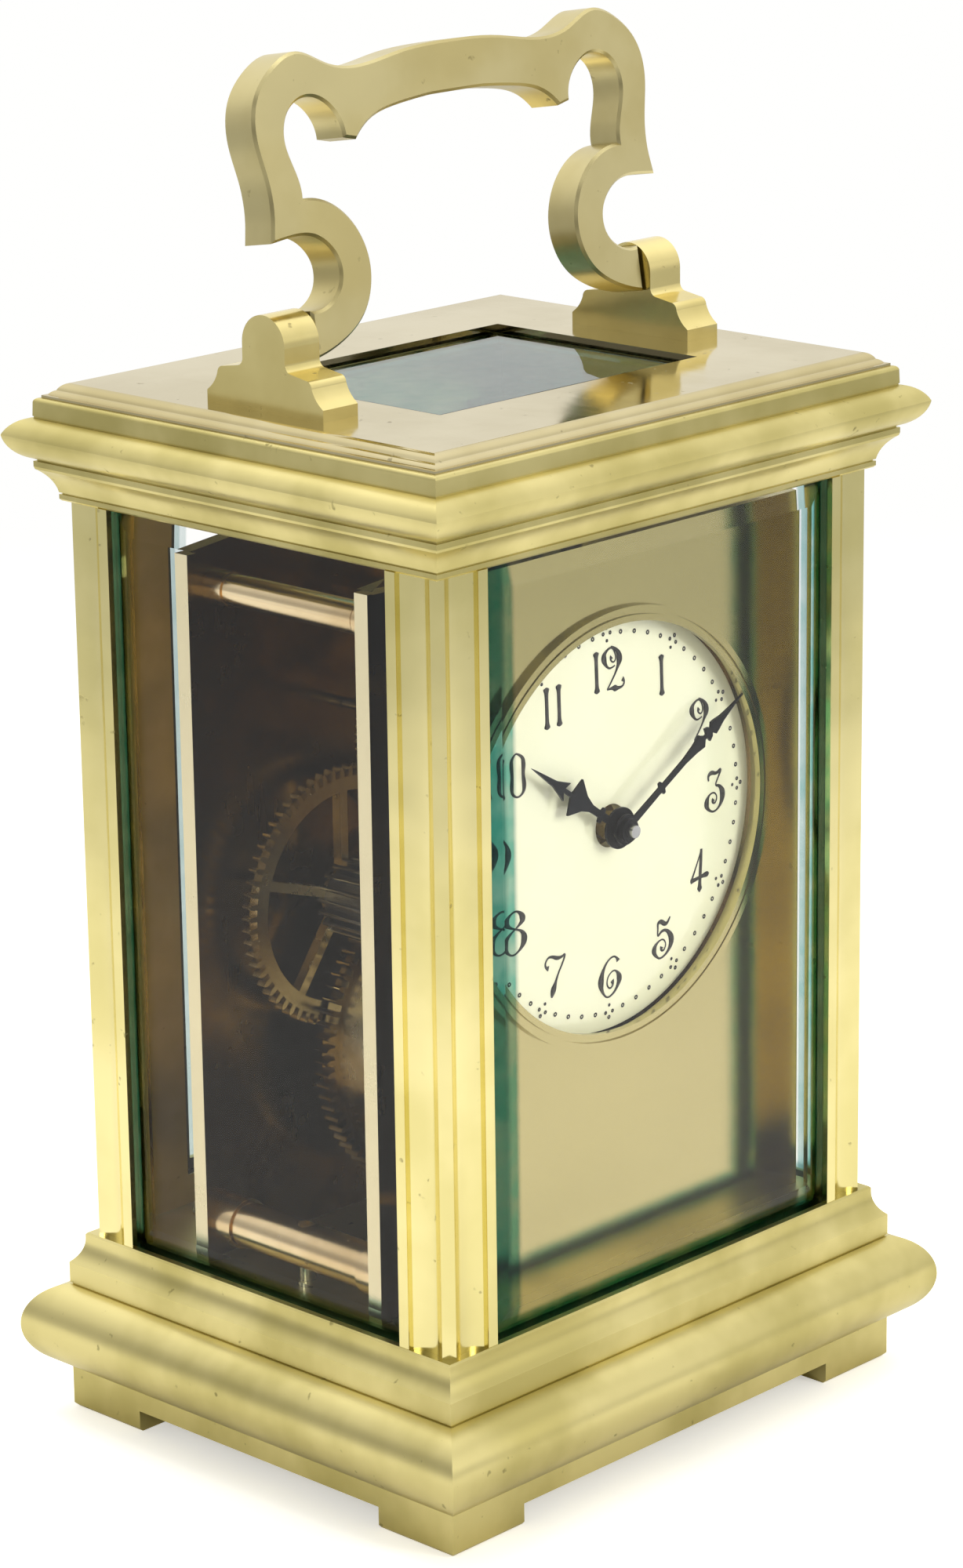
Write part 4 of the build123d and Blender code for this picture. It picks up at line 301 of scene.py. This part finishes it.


# Movement: plates and platform of rolled brass with random brown stains. Their faces are coloured dark
# brown as painted shade inside the case, and their upright edges that face the side panes are painted
# bright as painted light.
# Four pillars, pinned behind the back plate, hold the plates together.
def plate_brass(name, face, edge):
    finish = bpy.data.materials.new(name)
    finish.use_nodes = True
    finish.node_tree.nodes.clear()
    metal = Value(finish.node_tree)
    spot = metal.node("ShaderNodeTexCoord", output="Object")
    facing = metal.node("ShaderNodeNewGeometry", output="True Normal")
    sideways = metal.node("ShaderNodeSeparateXYZ", values={0: facing}, output="X")
    # Painted light: the upright edges that face the side panes (along x) take the pale edge colour.
    side_lit_edges = sideways.sum("ABSOLUTE", sideways).between(0.6, 0.9)
    stain = metal.node(
        "ShaderNodeTexNoise", values={"Vector": spot, "Scale": 90.0, "Detail": 5.0, "Roughness": 0.6}
    )
    drawn = metal.node("ShaderNodeMapping", values={"Vector": spot, "Scale": (1.0, 1.0, 0.08)})
    grain = metal.node("ShaderNodeTexNoise", values={"Vector": drawn, "Scale": 900.0, "Detail": 2.0})
    brown = stain.between(0.42, 0.62)
    aged = brown.tint(face, tuple(0.55 * c for c in face))
    surface = metal.node(
        "ShaderNodeBsdfPrincipled",
        values={
            "Base Color": side_lit_edges.tint(aged, edge),
            "Metallic": 1.0,
            "Roughness": 0.13 + brown * 0.12 + grain * 0.05,
        },
    )
    metal.node("ShaderNodeOutputMaterial", values={"Surface": surface})
    return finish


# Painted shade: the dark brown face colour stands in for the shade inside the case. The pale colour is
# painted light on the edges facing the side panes.
movement_brass = plate_brass("movement_brass", (0.20, 0.125, 0.035), (0.72, 0.64, 0.42))
for name in (
    "back_plate", "front_plate", "barrel", "barrel_cap", "platform", "lever_bridge", "balance_cock",
    "base_cover",
):
    nodes[name].data.materials.clear()
    nodes[name].data.materials.append(movement_brass)


# Pillars and wheels: turned and crossed-out brass, polished bright. The pillars carry the marks of the
# lathe round them, and the wheels sit on steel arbors.
pillar_brass = brass("pillar_brass", (0.84, 0.68, 0.42), (0.68, 0.50, 0.26), 0.16, 0.05, (1.0, 0.1, 1.0))
for name in ("pillar_top_left", "pillar_top_right", "pillar_bottom_left", "pillar_bottom_right"):
    nodes[name].data.materials.clear()
    nodes[name].data.materials.append(pillar_brass)
wheel_brass = brass("wheel_brass", (0.80, 0.66, 0.36), (0.60, 0.46, 0.20), 0.20, 0.10, (1.0, 1.0, 1.0))
for name in (
    "intermediate_wheel", "centre_wheel", "third_wheel", "contrate_wheel", "minute_wheel", "hour_wheel",
    "balance",
):
    nodes[name].data.materials.clear()
    nodes[name].data.materials.append(wheel_brass)


# Steel of the movement: arbors, pinions, ratchet, click, screws and pins, hardened and polished. The
# two springs are tempered to blue.
steel = brass("polished_steel", (0.52, 0.53, 0.54), (0.36, 0.36, 0.37), 0.16, 0.05, (1.0, 1.0, 1.0))
for name in (
    "case_screws", "fixing_screws", "movement_screws", "pillar_pins", "door_pins", "handle_pins",
    "winding_arbor", "ratchet_wheel", "click", "click_spring", "intermediate_arbor", "centre_arbor",
    "third_arbor", "contrate_arbor", "cannon_pinion", "escape_wheel", "lever",
):
    nodes[name].data.materials.clear()
    nodes[name].data.materials.append(steel)
blue_steel = brass("blued_springs", (0.10, 0.14, 0.30), (0.07, 0.08, 0.16), 0.22, 0.05, (1.0, 1.0, 1.0))
for name in ("mainspring", "hairspring"):
    nodes[name].data.materials.clear()
    nodes[name].data.materials.append(blue_steel)


# Hands: steel cut to shape and blued so dark that they look black, with a soft shine. The hour hand is
# pushed on its wheel's pipe, and the minute hand on the cannon pinion in front of it.
hand_black = brass("hand_black", (0.016, 0.018, 0.022), (0.010, 0.010, 0.012), 0.30, 0.10, (1.0, 1.0, 1.0))
for name in ("hour_hand", "minute_hand"):
    nodes[name].data.materials.clear()
    nodes[name].data.materials.append(hand_black)


# Mask: brass plate round the dial, polished and lacquered, its lacquer toned olive in random blotches.
# It is coloured darker towards the top as painted shade. The bezel is a thin turned ring of the same
# finish round the dial.
gilt_finish = bpy.data.materials.new("mask_gilt")
gilt_finish.use_nodes = True
gilt_finish.node_tree.nodes.clear()
gilt = Value(gilt_finish.node_tree)
on_mask = gilt.node("ShaderNodeTexCoord", output="Object")
mask_height = gilt.node("ShaderNodeSeparateXYZ", values={0: on_mask}, output="Z")
blotches = gilt.node("ShaderNodeTexNoise", values={"Vector": on_mask, "Scale": 60.0, "Detail": 3.0})
frost = gilt.node("ShaderNodeTexNoise", values={"Vector": on_mask, "Scale": 1500.0, "Detail": 1.0})
# Painted shade: the mask is darker towards the top. The blotches add random tone to the lacquer.
top_shade_and_blotches = mask_height.between(0.035, 0.100) * 0.85 + blotches * 0.15
lacquer = gilt.node(
    "ShaderNodeBsdfPrincipled",
    values={
        "Base Color": top_shade_and_blotches.tint((0.54, 0.47, 0.23), (0.36, 0.32, 0.14)),
        "Metallic": 1.0,
        "Roughness": 0.13 + frost * 0.05,
    },
)
gilt.node("ShaderNodeOutputMaterial", values={"Surface": lacquer})
for name in ("dial_mask", "dial_bezel"):
    nodes[name].data.materials.clear()
    nodes[name].data.materials.append(gilt_finish)


# Dial: white enamel fired on a domed copper disc, very slightly creamy, glossy and not quite flat.
# It stands on three feet on the front plate, in the round window of the mask.
enamel_finish = bpy.data.materials.new("white_enamel")
enamel_finish.use_nodes = True
enamel_finish.node_tree.nodes.clear()
enamel = Value(enamel_finish.node_tree)
on_dial = enamel.node("ShaderNodeTexCoord", output="Object")
bloom = enamel.node("ShaderNodeTexNoise", values={"Vector": on_dial, "Scale": 60.0, "Detail": 3.0})
ripple = enamel.node("ShaderNodeTexNoise", values={"Vector": on_dial, "Scale": 160.0, "Detail": 1.0})
orange_peel = enamel.node(
    "ShaderNodeBump", values={"Height": ripple, "Strength": 0.05, "Distance": 0.0003}
)
fired = enamel.node(
    "ShaderNodeBsdfPrincipled",
    values={
        "Base Color": bloom.between(0.35, 0.7).tint((0.96, 0.96, 0.70), (0.94, 0.935, 0.66)),
        "Roughness": 0.12 + bloom * 0.05,
        "Coat Weight": 0.6,
        "Normal": orange_peel,
    },
)
enamel.node("ShaderNodeOutputMaterial", values={"Surface": fired})
nodes["dial"].data.materials.clear()
nodes["dial"].data.materials.append(enamel_finish)


# Dial painting: black vitreous paint, fired on and a little proud of the enamel. Arabic numerals whose
# strokes swell to diamonds and end in curls, each a row of (across, up, breadth) in figure units, with
# a ring for each minute outside them and a floret of four rings at each hour.
paint_finish = bpy.data.materials.new("dial_paint")
paint_finish.use_nodes = True
paint_finish.node_tree.nodes.clear()
paint = Value(paint_finish.node_tree)
on_paint = paint.node("ShaderNodeTexCoord", output="Object")
density = paint.node("ShaderNodeTexNoise", values={"Vector": on_paint, "Scale": 900.0, "Detail": 2.0})
black = paint.node(
    "ShaderNodeBsdfPrincipled",
    values={
        "Base Color": density.between(0.4, 0.75).tint((0.012, 0.011, 0.010), (0.05, 0.045, 0.04)),
        "Roughness": 0.25 + density * 0.1,
    },
)
paint.node("ShaderNodeOutputMaterial", values={"Surface": black})

stem = [
    (0.0, 2.45, 0.1), (0.0, 2.3, 0.75), (0.0, 2.0, 0.62), (0.0, 1.7, 0.4), (0.0, 0.0, 0.4),
    (0.0, -1.7, 0.4), (0.0, -2.0, 0.62), (0.0, -2.3, 0.75), (0.0, -2.45, 0.1),
]
sweeps = {
    "1": [stem],
    "2": [
        [
            (-0.2, 1.4, 0.5), (-0.5, 1.1, 0.2), (0.1, 0.6, 0.16), (0.55, 1.1, 0.16),
            (0.3, 2.0, 0.16), (-0.25, 2.6, 0.18), (-1.3, 2.1, 0.3), (-1.6, 1.4, 0.8),
            (-1.2, 0.5, 0.3), (-0.5, -0.05, 0.16), (0.3, 0.3, 0.16),
        ],
        [
            (-0.25, 2.6, 0.18), (0.7, 2.2, 0.3), (1.2, 1.0, 0.9), (0.8, 0.1, 0.3),
            (0.1, -1.0, 0.18), (-1.1, -2.3, 0.18),
        ],
        [
            (-1.1, -2.3, 0.18), (-0.3, -2.25, 0.2), (0.2, -2.35, 0.75), (0.7, -2.45, 0.3),
            (1.6, -2.4, 0.2), (1.9, -1.8, 0.2), (1.5, -1.5, 0.5),
        ],
    ],
    "3": [
        [
            (-1.0, 1.4, 0.2), (-1.2, 2.0, 0.3), (-0.5, 2.4, 0.5), (0.4, 2.0, 0.3), (1.3, 2.5, 0.4),
            (0.9, 1.7, 0.2), (0.1, 0.6, 0.2), (1.0, 0.5, 0.3), (1.7, -0.6, 0.9), (1.2, -2.0, 0.3),
            (0.0, -2.65, 0.18), (-1.1, -2.1, 0.3), (-1.5, -1.3, 0.8), (-1.0, -0.3, 0.2),
            (0.0, -0.1, 0.16), (0.6, -0.8, 0.18), (0.2, -1.6, 0.18), (-0.4, -1.3, 0.3),
            (-0.1, -1.0, 0.5),
        ],
    ],
    "4": [
        [
            (0.15, 2.65, 0.3), (0.1, 1.5, 0.42), (0.0, 0.0, 0.42), (-0.1, -1.9, 0.42),
            (-0.1, -2.2, 0.85), (-0.1, -2.65, 0.1),
        ],
        [
            (0.0, 2.2, 0.16), (-0.9, 0.4, 0.16), (-1.7, -1.1, 0.3),
        ],
        [
            (-1.75, -1.0, 0.5), (-0.8, -0.9, 0.36), (0.4, -0.75, 0.36), (1.4, -0.7, 0.7),
            (1.6, -0.65, 0.1),
        ],
    ],
    "5": [
        [
            (1.3, 2.4, 0.18), (0.9, 1.7, 0.3), (0.3, 1.7, 0.5), (-0.3, 2.2, 0.5), (-0.9, 2.1, 0.3),
            (-0.85, 1.4, 0.2), (-0.9, 0.3, 0.2), (-0.2, 1.0, 0.3), (0.8, 0.9, 0.3),
            (1.8, -0.4, 0.85), (1.2, -1.8, 0.3), (-0.3, -2.55, 0.18), (-1.2, -1.9, 0.3),
            (-1.6, -1.1, 0.75), (-1.0, -0.3, 0.2), (0.1, 0.0, 0.16), (0.7, -0.8, 0.18),
            (0.3, -1.6, 0.18), (-0.3, -1.4, 0.3), (-0.1, -1.0, 0.5),
        ],
    ],
    "6": [
        [
            (1.4, 1.7, 0.5), (1.2, 2.1, 0.2), (0.6, 2.5, 0.18), (-0.5, 2.1, 0.2), (-1.3, 0.9, 0.4),
            (-1.6, -0.3, 0.9), (-1.3, -1.5, 0.3), (-0.4, -2.55, 0.16), (0.8, -2.1, 0.25),
            (1.5, -1.2, 0.4), (1.75, -0.4, 0.8), (1.2, 0.5, 0.2), (0.5, 0.75, 0.16),
            (-0.4, 0.1, 0.16), (-0.5, -0.9, 0.18), (0.1, -1.5, 0.18), (0.7, -1.0, 0.25),
            (0.4, -0.5, 0.5),
        ],
    ],
    "7": [
        [
            (-1.2, 1.2, 0.55), (-1.6, 1.3, 0.25), (-1.8, 1.9, 0.2), (-1.3, 2.55, 0.2),
            (-0.6, 2.5, 0.3), (0.2, 2.1, 0.45), (1.0, 2.1, 0.25), (1.6, 2.4, 0.25),
            (1.2, 1.4, 0.2), (0.4, 0.2, 0.2), (0.0, -0.8, 0.3), (-0.4, -1.7, 0.9),
            (-0.6, -2.5, 0.2),
        ],
    ],
    "8": [
        [
            (0.1, 0.5, 0.16), (1.0, 1.0, 0.3), (1.4, 1.6, 0.85), (0.8, 2.4, 0.3), (0.0, 2.7, 0.16),
            (-1.0, 2.2, 0.3), (-1.4, 1.5, 0.85), (-0.9, 0.9, 0.3), (0.1, 0.5, 0.16),
            (1.2, 0.1, 0.3), (1.7, -0.9, 0.9), (1.1, -2.0, 0.3), (-0.2, -2.7, 0.16),
            (-1.2, -2.1, 0.3), (-1.6, -1.1, 0.85), (-1.1, -0.1, 0.3), (0.1, 0.5, 0.16),
        ],
    ],
    "0": [
        [
            (-0.2, 2.6, 0.16), (-0.9, 2.2, 0.3), (-1.0, 1.2, 0.5), (-0.85, 0.0, 0.35),
            (-1.0, -1.2, 0.5), (-0.9, -2.1, 0.3), (0.0, -2.6, 0.16), (0.9, -2.1, 0.3),
            (1.05, -1.2, 0.55), (0.85, 0.0, 0.35), (1.0, 1.2, 0.55), (0.8, 2.2, 0.3),
            (-0.2, 2.6, 0.16),
        ],
    ],
}
sweeps["9"] = [[(-across, -upward, broad) for across, upward, broad in row] for row in sweeps["6"]]
hours = {hour: [(str(hour), 0.0)] for hour in range(1, 10)}
hours[10] = [("1", -1.7), ("0", 0.8)]
hours[11] = [("1", -1.0), ("1", 1.0)]
hours[12] = [("1", -1.9), ("2", 0.9)]
dial_middle = 0.0704
dial_face = -0.0193
dome_radius = 0.5385
numeral_radius = 0.0173
figure_unit = 0.00094
stroke_weight = 1.3
track_radius = 0.0212
ring_weight = 0.2

strokes = bpy.data.curves.new("numerals", "CURVE")
strokes.dimensions = "3D"
strokes.bevel_depth = 0.0005
strokes.bevel_resolution = 1
strokes.use_fill_caps = True
strokes.resolution_u = 5
for hour, figures in hours.items():
    clockwise = math.radians(30 * hour)
    for figure, shift in figures:
        for row in sweeps[figure]:
            line = strokes.splines.new("NURBS")
            line.points.add(len(row) - 1)
            for point, (across, upward, broad) in zip(line.points, row):
                x = numeral_radius * math.sin(clockwise) + (across + shift) * figure_unit
                z = dial_middle + numeral_radius * math.cos(clockwise) + upward * figure_unit
                point.co = (x, 0, z, 1)
                point.radius = broad * stroke_weight
            line.order_u = 3
            line.use_endpoint_u = True
for minute in range(60):
    clockwise = math.radians(6 * minute)
    outwards = Vector((math.sin(clockwise), 0, math.cos(clockwise)))
    sideways = Vector((math.cos(clockwise), 0, -math.sin(clockwise)))
    middle = Vector((0, 0, dial_middle)) + track_radius * outwards
    rings = [(0, 0, 0.00021)]
    if minute % 5 == 0:
        rings = [
            (0.0007, 0, 0.00018), (-0.0007, 0, 0.00012), (0.0001, 0.00055, 0.00016),
            (0.0001, -0.00055, 0.00016),
        ]
    for out, side, radius in rings:
        ring = strokes.splines.new("NURBS")
        ring.points.add(5)
        for step, point in enumerate(ring.points):
            around = math.radians(60 * step)
            outward = out + radius * math.cos(around)
            aside = side + radius * math.sin(around)
            point.co = (*(middle + outwards * outward + sideways * aside), 1)
            point.radius = ring_weight
        ring.use_cyclic_u = True
        ring.order_u = 3
painting = bpy.data.objects.new("dial_painting", strokes)
bpy.context.collection.objects.link(painting)
bpy.ops.object.select_all(action="DESELECT")
painting.select_set(True)
bpy.context.view_layer.objects.active = painting
bpy.ops.object.convert(target="MESH")
painting = bpy.context.object
proud = 0.00003
flatness = 0.12
for corner in painting.data.vertices:
    out = math.hypot(corner.co.x, corner.co.z - dial_middle)
    corner.co.y = dial_face + out**2 / (2 * dome_radius) - proud + corner.co.y * flatness
painting.name = "dial_painting"
painting.data.materials.clear()
painting.data.materials.append(paint_finish)
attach(painting, "case")
